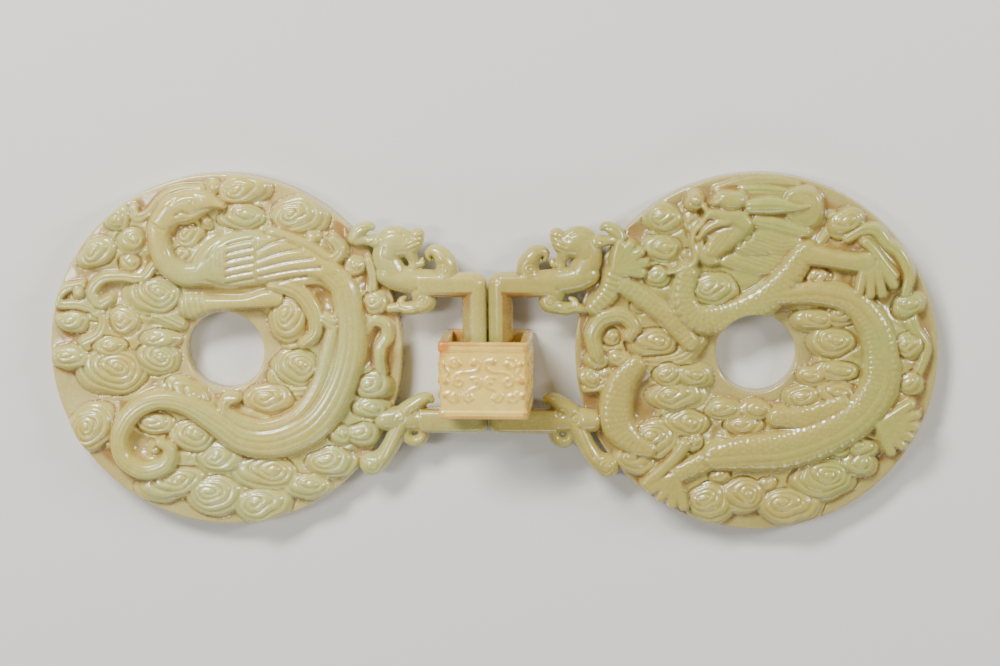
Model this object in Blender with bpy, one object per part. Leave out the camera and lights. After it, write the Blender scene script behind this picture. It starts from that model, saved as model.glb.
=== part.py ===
"""Linked pair of jade bi discs: a phoenix disc and a dragon disc joined by a loose square sleeve.

The pair lies on its backs. X runs along the length, with the phoenix disc on the -X side.
Y runs to the top of the figures, and Z is up, out of the carved faces.
The origin is on the underside, midway between the two posts, on the discs' centre line.
Every size below is in millimetres, and the finished pieces are scaled to metres.
"""
import bmesh
import bpy
import math
import numpy as np
from mathutils import Matrix, Vector, geometry

MM = 0.001

# Discs
DISC_RADIUS = 50.0
HOLE_RADIUS = 11.0
GROUND_Z = 6.2
EDGE_ROUND = 0.7
CENTRE_X = 1.485 * DISC_RADIUS
RIM_SIDES = 72
HOLE_SIDES = 36
SHARP_ANGLE = 50

# The figures are drawn on a plan of this many steps to the radius of a disc
RADIUS_STEPS = 50
UNIT = DISC_RADIUS / RADIUS_STEPS

# Relief above the ground of each disc
BODY_HIGH = 4.8
LIMB_HIGH = 4.0
CLOUD_HIGH = 3.3
THIN_HIGH = 2.4
GRID_STEP = 0.4
HAIR_HIGH = 3.0
TOE_WIDTH = 1.9
CLOUD_FULLNESS = 1.1
CLOUD_SOFTNESS = 0.75
RELIEF_SOFTNESS = 0.4
RELIEF_CORNERS = 1240
CORNER_ROUNDS = 14
RIM_MARGIN = 0.3
SPAN_STEPS = 8

# Posts and arms
POST_RADIUS = 3.45
POST_GAP = 0.4
POST_X = POST_RADIUS + POST_GAP / 2
POST_Z = 6.2
POST_SIDES = 24
UPPER_ARM_Y = 19.1
LOWER_ARM_Y = -19.35
ARM_END_X = 19.0
ARM_EDGE = 1.6
POST_END_ROUND = 1.5

# Brackets, the small hornless dragons that join arms and disc
BRACKET_HALF_DEPTH = 3.4
BEAD_SPACING = 0.7
BEAD_STEPS = 24
BEAD_SIDES = 16
BEAD_RINGS = 10
BRACKET_VOXEL = 0.4
UPPER_BRACKET_FACES = 516
LOWER_BRACKET_FACES = 344
RING_X = 20.8
RING_Y = -23.0
RING_RADIUS = 2.4
RING_HALF_WIDTH = 1.7
RING_BEADS = 12
RING_START = 100

# Loose sleeve around both posts
SLEEVE_WIDTH = 24.0
SLEEVE_DEPTH = 23.0
SLEEVE_HEIGHT = 21.2
SLEEVE_WALL = 2.0
BAND_STEP = 0.4
BAND_TOP = 2.6
BAND_BOTTOM = 2.3
SLEEVE_GAP = 0.3
SLEEVE_CORNER = 0.9
BORE_CORNER = 0.4
BOSS_RADIUS = 1.0
BOSS_HIGH = 0.38
FACE_CORNERS = 90
FACE_ROUNDS = 6
FACE_STEP = 0.3
WIDTH_STEPS = 24

# Corners of the meshes closer together than these are one
MERGE_GAP = 0.03
THINNEST = 0.01


def smooth_path(points, steps=SPAN_STEPS):
    """Evenly rounded path through the given points, each with its half width as the last number."""
    pts = [np.array(p, float) for p in points]
    pts = [2 * pts[0] - pts[1]] + pts + [2 * pts[-1] - pts[-2]]
    path = []
    for p0, p1, p2, p3 in zip(pts, pts[1:], pts[2:], pts[3:]):
        for k in range(steps):
            t = k / steps
            first = (p2 - p0) * t
            second = (2 * p0 - 5 * p1 + 4 * p2 - p3) * t ** 2
            third = (3 * p1 - p0 - 3 * p2 + p3) * t ** 3
            path.append(0.5 * (2 * p1 + first + second + third))
    path.append(pts[-2])
    return path


class Field:
    """Heights of a carved face on a square grid around its middle, drawn in units of the given length."""

    def __init__(self, half_x, half_y, step, unit):
        self.step = step
        self.unit = unit
        self.nx = int(round(half_x / step))
        self.ny = int(round(half_y / step))
        self.x = np.arange(-self.nx, self.nx + 1) * step
        self.y = np.arange(-self.ny, self.ny + 1) * step
        self.z = np.zeros((len(self.y), len(self.x)))

    def dome(self, x, y, a, b, high, turn=0.0):
        """Steep-sided low dome with half axes a and b."""
        x, y, a, b = (number * self.unit for number in (x, y, a, b))
        reach = max(a, b)
        i0, i1 = np.searchsorted(self.x, (x - reach, x + reach))
        j0, j1 = np.searchsorted(self.y, (y - reach, y + reach))
        gx, gy = np.meshgrid(self.x[i0:i1] - x, self.y[j0:j1] - y)
        c, s = math.cos(math.radians(turn)), math.sin(math.radians(turn))
        d = np.hypot((gx * c + gy * s) / a, (gy * c - gx * s) / b)
        lift = high * np.sqrt(np.clip(1 - d ** 4, 0, 1))
        self.z[j0:j1, i0:i1] = np.maximum(self.z[j0:j1, i0:i1], lift)

    def stroke(self, high, *points):
        """Rounded ridge along points given as x, y and half width."""
        for x, y, w in smooth_path(points):
            self.dome(x, y, w, w, high)

    def fan(self, high, start, width, *tips):
        """Toes or plumes that spread from one start."""
        for x, y in tips:
            self.stroke(high, (*start, width), ((start[0] + x) / 2, (start[1] + y) / 2, width),
                        (x, y, width * 0.7))

    def soften(self, distance):
        """Rounds the steps of the carving over a distance by averaging each place with its neighbours."""
        for _ in range(round(2 * (distance / self.step) ** 2)):
            wide = np.pad(self.z, 1, mode="edge")
            across = (wide[1:-1, :-2] + 2 * wide[1:-1, 1:-1] + wide[1:-1, 2:]) / 4
            tall = np.pad(across, 1, mode="edge")
            self.z = (tall[:-2, 1:-1] + 2 * tall[1:-1, 1:-1] + tall[2:, 1:-1]) / 4

    def at(self, x, y):
        i = min(max(int(round(x / self.step)) + self.nx, 0), 2 * self.nx)
        j = min(max(int(round(y / self.step)) + self.ny, 0), 2 * self.ny)
        return self.z[j, i]


def phoenix_relief(field):
    """Phoenix looking right, its tail sweeping round the lower half, among clouds."""
    for x, y, a, b, turn in ((6.5, 45.5, 7.5, 4, 10), (6, 38, 6.5, 4, 0), (22, 38, 7.5, 5.5, 0),
                             (26, 32, 2.5, 2.5, 0), (-29.5, 37.5, 4, 3, 45), (-24.5, 31.5, 4.5, 4, 0),
                             (-34.5, 28, 6, 3.5, 25), (-41, 16.5, 2, 2, 0), (-43, 8.5, 4.5, 3, 0),
                             (-19.5, 16, 8, 6, 0), (-28, 8.5, 4, 4, 0), (-32.5, 1.5, 5, 3, 0),
                             (-18.5, 3.5, 5.5, 2.8, 0), (-19.5, -2, 6.5, 5, 0), (-44, -2, 5.5, 3.5, 0),
                             (-32.5, -5.5, 9.5, 6.5, 0), (-38, -22, 7.5, 6, 35),
                             (-10.5, -12, 6.5, 3.8, -30), (-20, -20.5, 5.5, 3.5, 0),
                             (-10, -24.5, 7, 4.5, 0), (-1.5, -31, 6.5, 4, 0), (-16, -38, 10, 4.5, 15),
                             (-3.5, -41.5, 8, 5.5, 0), (10.5, -34.5, 9, 5, 0), (10, -44, 8, 4.8, 10),
                             (22.5, -38.5, 6.5, 3.5, 0), (29.5, -31.5, 7, 4, 0),
                             (32.5, -23.5, 3.5, 3.5, 0), (38.5, -23.5, 5, 3.5, 0), (41, -16, 5.5, 3.3, 0),
                             (42, -9.5, 5, 3.6, 0), (37.5, 24.5, 3.5, 3, 0), (43, 14, 3.5, 3.3, 0),
                             (20.5, -4.5, 6.2, 5.2, 0), (13, -13.5, 7, 4, 0)):
        field.dome(x, y, a * CLOUD_FULLNESS, b * CLOUD_FULLNESS, CLOUD_HIGH, turn)
    field.soften(CLOUD_SOFTNESS)
    thin = THIN_HIGH
    field.stroke(thin, (-19, 24.5, 1.4), (-22.5, 20.5, 1.4), (-28.5, 21, 1.4), (-34, 20.5, 1.5),
                 (-37, 17, 1.6), (-35, 13.5, 1.6), (-32, 15, 1.2))
    field.stroke(thin, (-26.5, 25, 1.3), (-24, 22.5, 1.4), (-28, 22.8, 1.6), (-29.5, 26, 1.5),
                 (-26.5, 27.5, 1))
    field.stroke(thin, (-40, 18.8, 1.2), (-45, 17.5, 1.3), (-47, 13.5, 1.3), (-40, 13, 1.4),
                 (-34.5, 9.5, 1.4), (-35.5, 5, 1.4), (-40, 2.5, 1.4))
    field.stroke(thin, (41.5, 26, 1.2), (42.5, 20.5, 1.3), (42, 16, 1.3))
    field.stroke(thin, (40, 6.5, 1.5), (42, 9, 1.6), (45.5, 8, 1.6), (46, 4.5, 1.6), (44, 0.5, 1.6),
                 (44.5, -6.5, 1.6))
    field.stroke(thin, (-18.5, 11, 3), (-12.5, 8, 2.2))
    field.stroke(thin, (-5, 46, 1.2), (-12, 45, 1.3), (-16.5, 42.5, 1.3), (-20.5, 38.6, 1.3),
                 (-24, 38, 1.5), (-24.5, 40.5, 1.2))
    field.stroke(thin, (-2, 46, 2), (-1.5, 46, 2))
    field.stroke(thin, (-7.5, 36, 1.6), (-10.5, 33.5, 1.8), (-8, 31.6, 1.4))
    field.stroke(thin, (30.5, 5.5, 2), (28, -3.5, 2.8), (23, -10.5, 3), (17, -11, 2.6), (14, -7.5, 2),
                 (16, -4, 1.6))
    limb = LIMB_HIGH
    field.dome(18.8, 9.6, 6.2, 7.4, limb)
    field.stroke(limb, (14.5, 19.5, 2.5), (21, 17.6, 2.8), (25, 12, 2.4), (25.4, 6, 1.8),
                 (22.5, 2.6, 1.5))
    field.stroke(limb, (20.5, 21.5, 3), (28.5, 22, 3.2), (34, 18, 3), (35, 12.5, 2.8), (32.5, 8, 2.6),
                 (29.5, 9, 2))
    field.stroke(limb, (15, 33, 2.6), (23, 30.5, 2.2), (30.5, 26.5, 1.8), (33.5, 29, 1.8),
                 (31.5, 32, 1.4))
    field.stroke(limb, (31.5, 6.5, 2.4), (27, -9, 2.6), (20.5, -18, 2.6), (12, -21.5, 2.5),
                 (5, -20.5, 2.3), (0.5, -17.5, 2), (0.5, -14, 1.8), (3.5, -13.5, 1.2))
    field.stroke(limb, (-9, 13, 3.6), (-2, 13.5, 2), (6.5, 14.2, 1.7), (15.5, 14.8, 2.2))
    tall = BODY_HIGH
    field.stroke(tall, (30.5, 23, 4), (35, 16, 4.2), (35.5, 3, 4.4), (32, -9.5, 4.6), (25, -20.5, 4.8),
                 (15, -25.8, 4.6), (5, -25, 4.3), (-3.5, -19.5, 3.8), (-12, -14.8, 3.2),
                 (-20, -13.5, 2.8), (-26.5, -18, 2.5), (-30.5, -25.5, 2.4), (-29, -32, 2.4),
                 (-23.5, -34.5, 2.4), (-17, -32, 2.4), (-16.3, -28, 1.8), (-20, -26.5, 1.4))
    field.stroke(tall, (-6, 24, 4.2), (1.5, 26, 6.8), (11.5, 26.5, 7.4), (22, 26, 5.4), (30.5, 23, 4))
    field.stroke(tall, (-14.5, 40.5, 3.6), (-18, 36, 3.2), (-18.6, 30, 3.2), (-16.2, 24.5, 3.4),
                 (-11, 21.8, 3.6), (-5, 24, 4))
    field.stroke(tall, (-14, 40.6, 3.8), (-10, 42, 4.1), (-6, 42.8, 3.2), (-2.2, 42.6, 2.1),
                 (0.6, 41.4, 1))


def dragon_relief(field):
    """Dragon looking left, its body looped round the disc, with four spread paws among clouds."""
    for x, y, a, b, turn in ((-25, 37.5, 5.5, 4, 0), (-26, 29, 5.5, 3.5, 0), (-27, 21, 4, 3, 0),
                             (23.5, 36.5, 5, 3.5, 30), (16, 22, 4.2, 2.8, 0), (41.5, 13.5, 4.5, 3, 20),
                             (42, 2.5, 3.8, 3.8, 0), (16, 9.5, 5.5, 3, 0), (23.5, 11, 5, 3, 0),
                             (21, 3.5, 6, 4.3, 0), (15.5, -6.5, 4, 3, 0), (21.5, -4.8, 7.2, 2.8, 0),
                             (14, -12.5, 6, 3.6, 0), (21.5, -11, 6.5, 3.5, 0), (-9, -15.5, 5, 3, 0),
                             (0, -15.5, 4.5, 2.5, 0), (-2.5, -20, 5.5, 3.5, 0), (-29.5, 3, 6.5, 4, 0),
                             (-24.5, -6, 4, 3.5, 0), (-17.5, -6.5, 5.5, 3.5, 0), (-21.5, -12, 7.5, 4, 0),
                             (-18.5, -20, 6, 4, 0), (-26.5, -24.5, 6.5, 5.5, 0), (-17, -25, 3, 3, 0),
                             (-33, -30.5, 5.5, 3.5, -20), (-44, -2, 3, 3, 0), (-37.5, -1.5, 4, 2.5, 0),
                             (-46, -7, 2.5, 2.5, 0), (-11.5, -41.5, 6.5, 5.8, 0), (-3.5, -40, 6, 5, 0),
                             (-9.5, -34.5, 2.5, 2.5, 0), (19, -35, 8.5, 6, 0), (11, -43, 8.5, 5, 0),
                             (23, -26, 4, 3.5, 0), (29.5, -26.5, 4.5, 3, 0), (28, -30.5, 5, 3.5, 0)):
        field.dome(x, y, a * CLOUD_FULLNESS, b * CLOUD_FULLNESS, CLOUD_HIGH, turn)
    field.soften(CLOUD_SOFTNESS)
    thin = THIN_HIGH
    field.stroke(thin, (27.5, 34.5, 1.3), (32.5, 35.5, 1.6), (36.5, 29, 1.6), (41.5, 20.5, 1.5),
                 (38, 15.5, 1.4))
    field.stroke(thin, (41.5, 13.5, 2), (43.5, 7, 1.8), (46.5, 2, 1.4), (45, -4, 1.3), (42, -8.5, 2.4))
    field.stroke(thin, (-22.5, 3, 3.5), (-18.5, 1, 2.5), (-15.5, -2, 1.8))
    field.stroke(thin, (-47, -10, 1.4), (-43, -8, 1.6), (-38, -5, 1.6))
    hair = HAIR_HIGH
    field.stroke(hair, (-4, 42.5, 3.4), (3, 44, 3.4), (9, 45, 2.6), (15, 45.6, 1.6))
    field.stroke(hair, (-3, 36, 3.6), (4, 36, 4), (10, 36.4, 3), (14.5, 36.5, 1.6))
    field.stroke(hair, (-3, 33.5, 3.4), (4, 31.5, 4), (10, 31, 3))
    field.stroke(hair, (-3.5, 31, 3), (1, 27.6, 3.2), (5.5, 25.6, 2.4))
    limb = LIMB_HIGH
    field.dome(13, 41.2, 6.2, 5, limb)
    field.stroke(limb, (13, 30.5, 3.5), (20, 29, 3.1), (28, 27.4, 2.9), (31, 26, 3.2))
    field.fan(limb, (32, 25), TOE_WIDTH, (27.8, 17.6), (31.4, 16.6), (35, 17), (38.6, 20), (38, 26))
    field.stroke(limb, (-36, 19.5, 2.6), (-30, 15, 2.8), (-23.5, 10, 3), (-18.5, 3.5, 2.8))
    field.stroke(limb, (-44, 13, 2.4), (-40, 17, 2.8), (-37.5, 22, 3))
    field.fan(limb, (-38, 24.5), TOE_WIDTH, (-38.6, 30.8), (-35.4, 31.2), (-32.4, 29.4), (-30.6, 26.4),
              (-31, 23))
    field.stroke(limb, (-44, 0, 2), (-45, 5.5, 2.2), (-42, 9.8, 2.2), (-37, 10.8, 2.2), (-33.4, 7.8, 2),
                 (-35, 5, 1.6))
    field.stroke(limb, (-33, -3, 3), (-37, -8, 4.2), (-38.5, -14.5, 4.8), (-38, -20.5, 4.6),
                 (-34, -25, 3.4), (-29.5, -27, 2.6))
    field.stroke(limb, (-19.5, -25.5, 2.2), (-22, -29, 2), (-26, -33, 1.9), (-30, -36.5, 2))
    field.stroke(limb, (-9.5, -27.5, 4.4), (-15, -30.5, 3.2), (-21, -34, 2.8))
    field.fan(limb, (-22, -35), TOE_WIDTH, (-30, -37.6), (-27, -40.6), (-23.6, -42.6), (-20, -43.6))
    field.fan(limb, (35.5, -18), TOE_WIDTH, (43, -14), (44, -17.8), (42.8, -21.6), (39.8, -25),
              (35.6, -25.8))
    tall = BODY_HIGH
    field.stroke(tall, (7, 16.8, 2.6), (17, 17, 2.8), (26, 14.5, 3.6), (32, 8.5, 4.8), (34.5, 0, 5.2),
                 (34.2, -8.5, 5.6), (28, -17, 5.8), (18, -22.5, 5.8), (7, -26, 5.6), (-4, -27.5, 5.2),
                 (-11, -28.5, 4.2))
    field.stroke(tall, (-19, 22, 3.4), (-19.6, 14.5, 4), (-16, 9.8, 4.4), (-8, 10, 5), (1.5, 14.5, 5.2),
                 (8.5, 20.5, 4.8), (12.8, 27, 3.9), (14.5, 31.4, 3))
    field.dome(-11.5, 17.5, 7.2, 5.2, tall)
    field.stroke(thin, (-13.5, 40, 1), (-13, 38, 1), (-16.5, 32, 1), (-16.5, 27, 1.1), (-21.5, 22.5, 1.1))
    field.stroke(tall, (-14, 31, 1.7), (-11, 29.2, 2.1), (-7, 29, 2.5), (-3, 32, 2.8))
    field.stroke(tall, (-17.6, 45, 1.5), (-16, 42.6, 2.3), (-12.5, 40.6, 2.8), (-8, 39, 3.4),
                 (-3.5, 37, 3.8))
    field.dome(-6.6, 42.8, 4.9, 3.8, tall)


def sleeve_bosses(field):
    """Grain bosses of one side of the sleeve, mirrored about its middle."""
    rows = ((5.4, (2.6, 7.2)), (0.0, (2.0, 6.8)), (-4.2, (3.8, 8.0)))
    size = BOSS_RADIUS / field.unit
    for y, places in rows:
        for x in places:
            field.dome(x, y, size, size, BOSS_HIGH)
            field.dome(-x, y, size, size, BOSS_HIGH)


def carved_patch(field, loops, inside, corners, rounds):
    """Corners and triangles over a carved face, with more corners where the carving turns sharply.

    loops are the outline and then a round hole, if any, and inside tells which places can get a corner.
    """
    points = [p for loop in loops for p in loop]
    edges = []
    start = 0
    for loop in loops:
        n = len(loop)
        edges += [(start + k, start + (k + 1) % n) for k in range(n)]
        start += n
    outlined = start
    gx, gy = np.meshgrid(field.x, field.y)
    open_place = inside(gx, gy)
    each = (corners + rounds - 1) // rounds
    for turn in range(rounds + 1):
        flat = [Vector(p) for p in points]
        triangles = geometry.delaunay_2d_cdt(flat, edges, [], 0, 1e-5)[2]
        kept = []
        worst = []
        for tri in triangles:
            a, b, c = (np.array(points[k]) for k in tri)
            if min(tri) >= len(loops[0]) and max(tri) < outlined:
                continue
            kept.append(tri)
            i0, i1 = np.searchsorted(field.x, (min(a[0], b[0], c[0]), max(a[0], b[0], c[0])))
            j0, j1 = np.searchsorted(field.y, (min(a[1], b[1], c[1]), max(a[1], b[1], c[1])))
            area = (b[0] - a[0]) * (c[1] - a[1]) - (b[1] - a[1]) * (c[0] - a[0])
            if turn == rounds or i1 <= i0 or j1 <= j0 or abs(area) < 1e-9:
                continue
            x, y = gx[j0:j1, i0:i1], gy[j0:j1, i0:i1]
            u = ((b[0] - x) * (c[1] - y) - (b[1] - y) * (c[0] - x)) / area
            v = ((c[0] - x) * (a[1] - y) - (c[1] - y) * (a[0] - x)) / area
            w = 1 - u - v
            within = (u > 0.02) & (v > 0.02) & (w > 0.02) & open_place[j0:j1, i0:i1]
            flat_z = u * field.at(*a) + v * field.at(*b) + w * field.at(*c)
            miss = np.where(within, np.abs(field.z[j0:j1, i0:i1] - flat_z) + 0.02 * np.sqrt(abs(area)), 0)
            j, i = np.unravel_index(miss.argmax(), miss.shape)
            if miss[j, i] > 0:
                worst.append((miss[j, i], x[j, i], y[j, i]))
        worst.sort(reverse=True)
        if turn < rounds:
            points += [(x, y) for _, x, y in worst[:each]]
    return points, kept


def ring_points(radius, sides):
    return [(radius * math.cos(2 * math.pi * k / sides),
             radius * math.sin(2 * math.pi * k / sides)) for k in range(sides)]


def on_ring(x, y):
    """Places on the carved face of a disc, a little in from its two edges."""
    r = np.hypot(x, y)
    return (r > HOLE_RADIUS + EDGE_ROUND + RIM_MARGIN) & (r < DISC_RADIUS - EDGE_ROUND - RIM_MARGIN)


def new_object(name, bm):
    mesh = bpy.data.meshes.new(name)
    bm.to_mesh(mesh)
    bm.free()
    obj = bpy.data.objects.new(name, mesh)
    bpy.context.scene.collection.objects.link(obj)
    return obj


def apply_modifiers(obj):
    """Puts the result of the object's modifiers in the place of its mesh."""
    depsgraph = bpy.context.evaluated_depsgraph_get()
    mesh = bpy.data.meshes.new_from_object(obj.evaluated_get(depsgraph))
    obj.modifiers.clear()
    old = obj.data
    obj.data = mesh
    bpy.data.meshes.remove(old)
    mesh.name = obj.name


def make_disc(name, carve):
    """Flat-backed disc with its carved face, as one closed body around its own middle."""
    field = Field(DISC_RADIUS + GRID_STEP, DISC_RADIUS + GRID_STEP, GRID_STEP, UNIT)
    carve(field)
    field.soften(RELIEF_SOFTNESS)
    rim = ring_points(DISC_RADIUS - EDGE_ROUND, RIM_SIDES)
    hole = ring_points(HOLE_RADIUS + EDGE_ROUND, HOLE_SIDES)
    points, triangles = carved_patch(field, [rim, hole], on_ring, RELIEF_CORNERS, CORNER_ROUNDS)
    bm = bmesh.new()
    top = [bm.verts.new((x, y, GROUND_Z + field.at(x, y))) for x, y in points]
    for tri in triangles:
        bm.faces.new([top[k] for k in tri])
    rows = []
    for radius, sides, first in ((DISC_RADIUS, RIM_SIDES, 0), (HOLE_RADIUS, HOLE_SIDES, RIM_SIDES)):
        ring = ring_points(radius, sides)
        upper = [bm.verts.new((x, y, GROUND_Z - EDGE_ROUND)) for x, y in ring]
        lower = [bm.verts.new((x, y, 0)) for x, y in ring]
        face_ring = top[first:first + sides]
        for a, b in ((face_ring, upper), (upper, lower)):
            for k in range(sides):
                n = (k + 1) % sides
                bm.faces.new((a[k], a[n], b[n], b[k]))
        rows.append(lower)
    edges = [bm.edges.get((ring[k], ring[(k + 1) % len(ring)])) for ring in rows for k in range(len(ring))]
    bmesh.ops.triangle_fill(bm, use_beauty=True, use_dissolve=False, edges=edges)
    bmesh.ops.recalc_face_normals(bm, faces=bm.faces)
    bmesh.ops.triangulate(bm, faces=bm.faces)
    return new_object(name, bm)


def beads(*points):
    """Row of overlapping flattened balls along points given as distance from the middle, y, half width."""
    row = []
    for place in smooth_path(points, BEAD_STEPS):
        u, y, w = place * UNIT
        if not row or math.hypot(u - row[-1][0], y - row[-1][1]) > min(BEAD_SPACING, w * 0.5):
            row.append((u, y, w))
    return row


def bead_object(name, rows):
    """All beads of the rows as one object, each bead thinned to the bracket's depth."""
    bm = bmesh.new()
    bmesh.ops.create_uvsphere(bm, u_segments=BEAD_SIDES, v_segments=BEAD_RINGS, radius=1)
    ball = np.array([v.co for v in bm.verts])
    ball_faces = [[v.index for v in f.verts] for f in bm.faces]
    bm.free()
    verts = []
    faces = []
    for u, y, w in (bead for row in rows for bead in row):
        depth = min(BRACKET_HALF_DEPTH, w * 1.15 + 0.4)
        start = len(verts)
        verts += (ball * (w, w, depth) + (u, y, POST_Z)).tolist()
        faces += [[start + k for k in face] for face in ball_faces]
    mesh = bpy.data.meshes.new(name)
    mesh.from_pydata(verts, [], faces)
    obj = bpy.data.objects.new(name, mesh)
    bpy.context.scene.collection.objects.link(obj)
    return obj


def make_upper_bracket(name):
    """Small dragon over the upper arm: head with upturned snout, beard, mane curl and curled leg."""
    rows = (
        beads((28, 22, 3.4), (25, 20.9, 3.8), (20, 20, 3.8), (14, 19.6, 3.5)),
        beads((26.6, 23, 4), (28, 26.1, 4), (27.6, 28.8, 4.2), (25.8, 30.8, 4.8), (23.2, 30.4, 3.9),
              (21.4, 30.2, 3), (20, 31.2, 2.3), (19.4, 33, 2.1)),
        beads((21.4, 28, 2), (20.7, 26, 1.5), (20.5, 23.8, 1.5)),
        beads((20, 24.6, 1.1), (18.4, 25, 1.1), (18.1, 26.1, 0.65)),
        beads((37, 32, 1.9), (36, 33.7, 2), (34.3, 35, 1.7), (32.7, 35.5, 1.3), (31.9, 35, 0.9)),
        beads((36.4, 31.6, 1.8), (33.4, 31.5, 1.5), (30.4, 31.2, 2.2)),
        beads((11.6, 21, 3.4), (11.3, 24.4, 3.1), (12.7, 27.3, 2.4), (14.7, 28.6, 1.7), (16.2, 28, 1.2),
              (16.4, 26.9, 0.85), (15.8, 26, 0.6)),
        beads((18.4, 17, 3.2), (17.6, 14.4, 3.3), (19.6, 12.9, 2.3), (22, 12.4, 1.95), (24, 13, 1.6),
              (24.1, 14.6, 1.05), (23, 15.4, 0.65)),
        beads((24.6, 12.6, 1.4), (27.4, 12.4, 1.4)))
    return bead_object(name, rows)


def make_lower_bracket(name):
    """Small dragon under the lower arm: raised crest curl, ringed paw and long tail down the rim."""
    ring = []
    for k in range(RING_BEADS):
        angle = math.radians(RING_START) + 2 * math.pi * k / RING_BEADS
        ring.append((RING_X + RING_RADIUS * math.cos(angle), RING_Y + RING_RADIUS * math.sin(angle),
                     RING_HALF_WIDTH))
    rows = (
        beads((29, -19.2, 3.4), (25, -19, 3.7), (21, -19, 3.8), (16, -19.35, 3.4)),
        beads((23, -16.8, 2.8), (20.6, -15, 2.5), (18.4, -13.4, 2), (16.9, -13, 1.4), (16, -13.8, 0.9)),
        beads(*ring),
        beads((24.4, -20.6, 2.8), (26, -23.4, 2.7), (27.7, -26.6, 2.6), (29.9, -29.8, 2.7),
              (32.4, -31.8, 3.3), (33.2, -32, 3.6)))
    return bead_object(name, rows)


def simplify(obj, faces):
    """Fuses the beads to one closed skin and lowers its number of faces."""
    remesh = obj.modifiers.new("Skin", "REMESH")
    remesh.mode = "VOXEL"
    remesh.voxel_size = BRACKET_VOXEL
    smooth = obj.modifiers.new("Smooth", "SMOOTH")
    smooth.factor = 0.5
    smooth.iterations = 3
    apply_modifiers(obj)
    count = sum(len(p.vertices) - 2 for p in obj.data.polygons)
    fewer = obj.modifiers.new("Fewer", "DECIMATE")
    fewer.ratio = faces / count
    apply_modifiers(obj)


def make_post(name):
    """Round post with softly rounded ends, from the top of the upper arm to the bottom of the lower arm."""
    bm = bmesh.new()
    top = UPPER_ARM_Y + POST_RADIUS
    bottom = LOWER_ARM_Y - POST_RADIUS
    turn = Matrix.Rotation(math.pi / 2, 4, "X")
    place = Matrix.Translation((POST_X, (top + bottom) / 2, POST_Z)) @ turn
    bmesh.ops.create_cone(bm, cap_ends=True, segments=POST_SIDES, radius1=POST_RADIUS, radius2=POST_RADIUS,
                          depth=top - bottom, matrix=place)
    ends = [e for e in bm.edges if any(len(f.verts) > 4 for f in e.link_faces)]
    bmesh.ops.bevel(bm, geom=ends, offset=POST_END_ROUND, segments=2, profile=0.5, affect="EDGES",
                    material=-1)
    return new_object(name, bm)


def make_arm(name, y):
    """Straight arm with rounded long edges, from the post's axis into the bracket."""
    bm = bmesh.new()
    size = 2 * POST_RADIUS
    matrix = Matrix.Translation(((POST_X + ARM_END_X) / 2, y,
                                 POST_Z)) @ Matrix.Diagonal((ARM_END_X - POST_X, size, size, 1))
    bmesh.ops.create_cube(bm, size=1, matrix=matrix)
    long_edges = [e for e in bm.edges if abs(e.verts[0].co.x - e.verts[1].co.x) > 1]
    bmesh.ops.bevel(bm, geom=long_edges, offset=ARM_EDGE, segments=2, profile=0.5, affect="EDGES",
                    material=-1)
    return new_object(name, bm)


def union(obj, other):
    join = obj.modifiers.new("Join", "BOOLEAN")
    join.operation = "UNION"
    join.solver = "EXACT"
    join.object = other
    apply_modifiers(obj)
    bpy.data.objects.remove(other)


def place_mesh(obj, shift_x, mirror):
    """Moves the mesh, mirrored to the -X side when asked, and keeps its faces turned outward."""
    bm = bmesh.new()
    bm.from_mesh(obj.data)
    if mirror:
        bmesh.ops.scale(bm, vec=(-1, 1, 1), verts=bm.verts)
        bmesh.ops.reverse_faces(bm, faces=bm.faces)
    bmesh.ops.translate(bm, vec=(shift_x, 0, 0), verts=bm.verts)
    bm.to_mesh(obj.data)
    bm.free()


def finish(obj, material):
    """Clean triangles in metres, shaded smooth across all but the sharp edges."""
    bm = bmesh.new()
    bm.from_mesh(obj.data)
    bmesh.ops.remove_doubles(bm, verts=bm.verts, dist=MERGE_GAP)
    bmesh.ops.dissolve_degenerate(bm, edges=bm.edges, dist=THINNEST)
    bmesh.ops.triangulate(bm, faces=bm.faces)
    bmesh.ops.recalc_face_normals(bm, faces=bm.faces)
    bmesh.ops.scale(bm, vec=(MM, MM, MM), verts=bm.verts)
    for face in bm.faces:
        face.smooth = True
    for edge in bm.edges:
        edge.smooth = not edge.is_manifold or edge.calc_face_angle(0) < math.radians(SHARP_ANGLE)
    bm.to_mesh(obj.data)
    bm.free()
    obj.data.materials.clear()
    obj.data.materials.append(material)


def make_material(name, color):
    material = bpy.data.materials.new(name)
    material.use_nodes = True
    shader = material.node_tree.nodes["Principled BSDF"]
    shader.inputs["Base Color"].default_value = (*color, 1)
    shader.inputs["Roughness"].default_value = 0.25
    shader.inputs["IOR"].default_value = 1.61
    material.diffuse_color = (*color, 1)
    return material


def make_carved_disc(name, carve, side):
    """One disc with its two brackets, arms and post, all cut from one stone."""
    disc = make_disc(name, carve)
    place_mesh(disc, side * CENTRE_X, False)
    upper = make_upper_bracket(name + "_upper")
    lower = make_lower_bracket(name + "_lower")
    simplify(upper, UPPER_BRACKET_FACES)
    simplify(lower, LOWER_BRACKET_FACES)
    post = make_post(name + "_post")
    union(post, make_arm(name + "_arm_up", UPPER_ARM_Y))
    union(post, make_arm(name + "_arm_low", LOWER_ARM_Y))
    union(post, upper)
    union(post, lower)
    place_mesh(post, 0, side < 0)
    union(disc, post)
    return disc


def square_ring(bm, half_x, half_z, corner, y, mid_z):
    """Eight-cornered ring of the sleeve at one height."""
    spots = ((half_x, half_z - corner), (half_x - corner, half_z), (corner - half_x, half_z),
             (-half_x, half_z - corner),
             (-half_x, corner - half_z), (corner - half_x, -half_z), (half_x - corner, -half_z),
             (half_x, corner - half_z))
    return [bm.verts.new((x, y, mid_z + z)) for x, z in spots]


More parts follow.
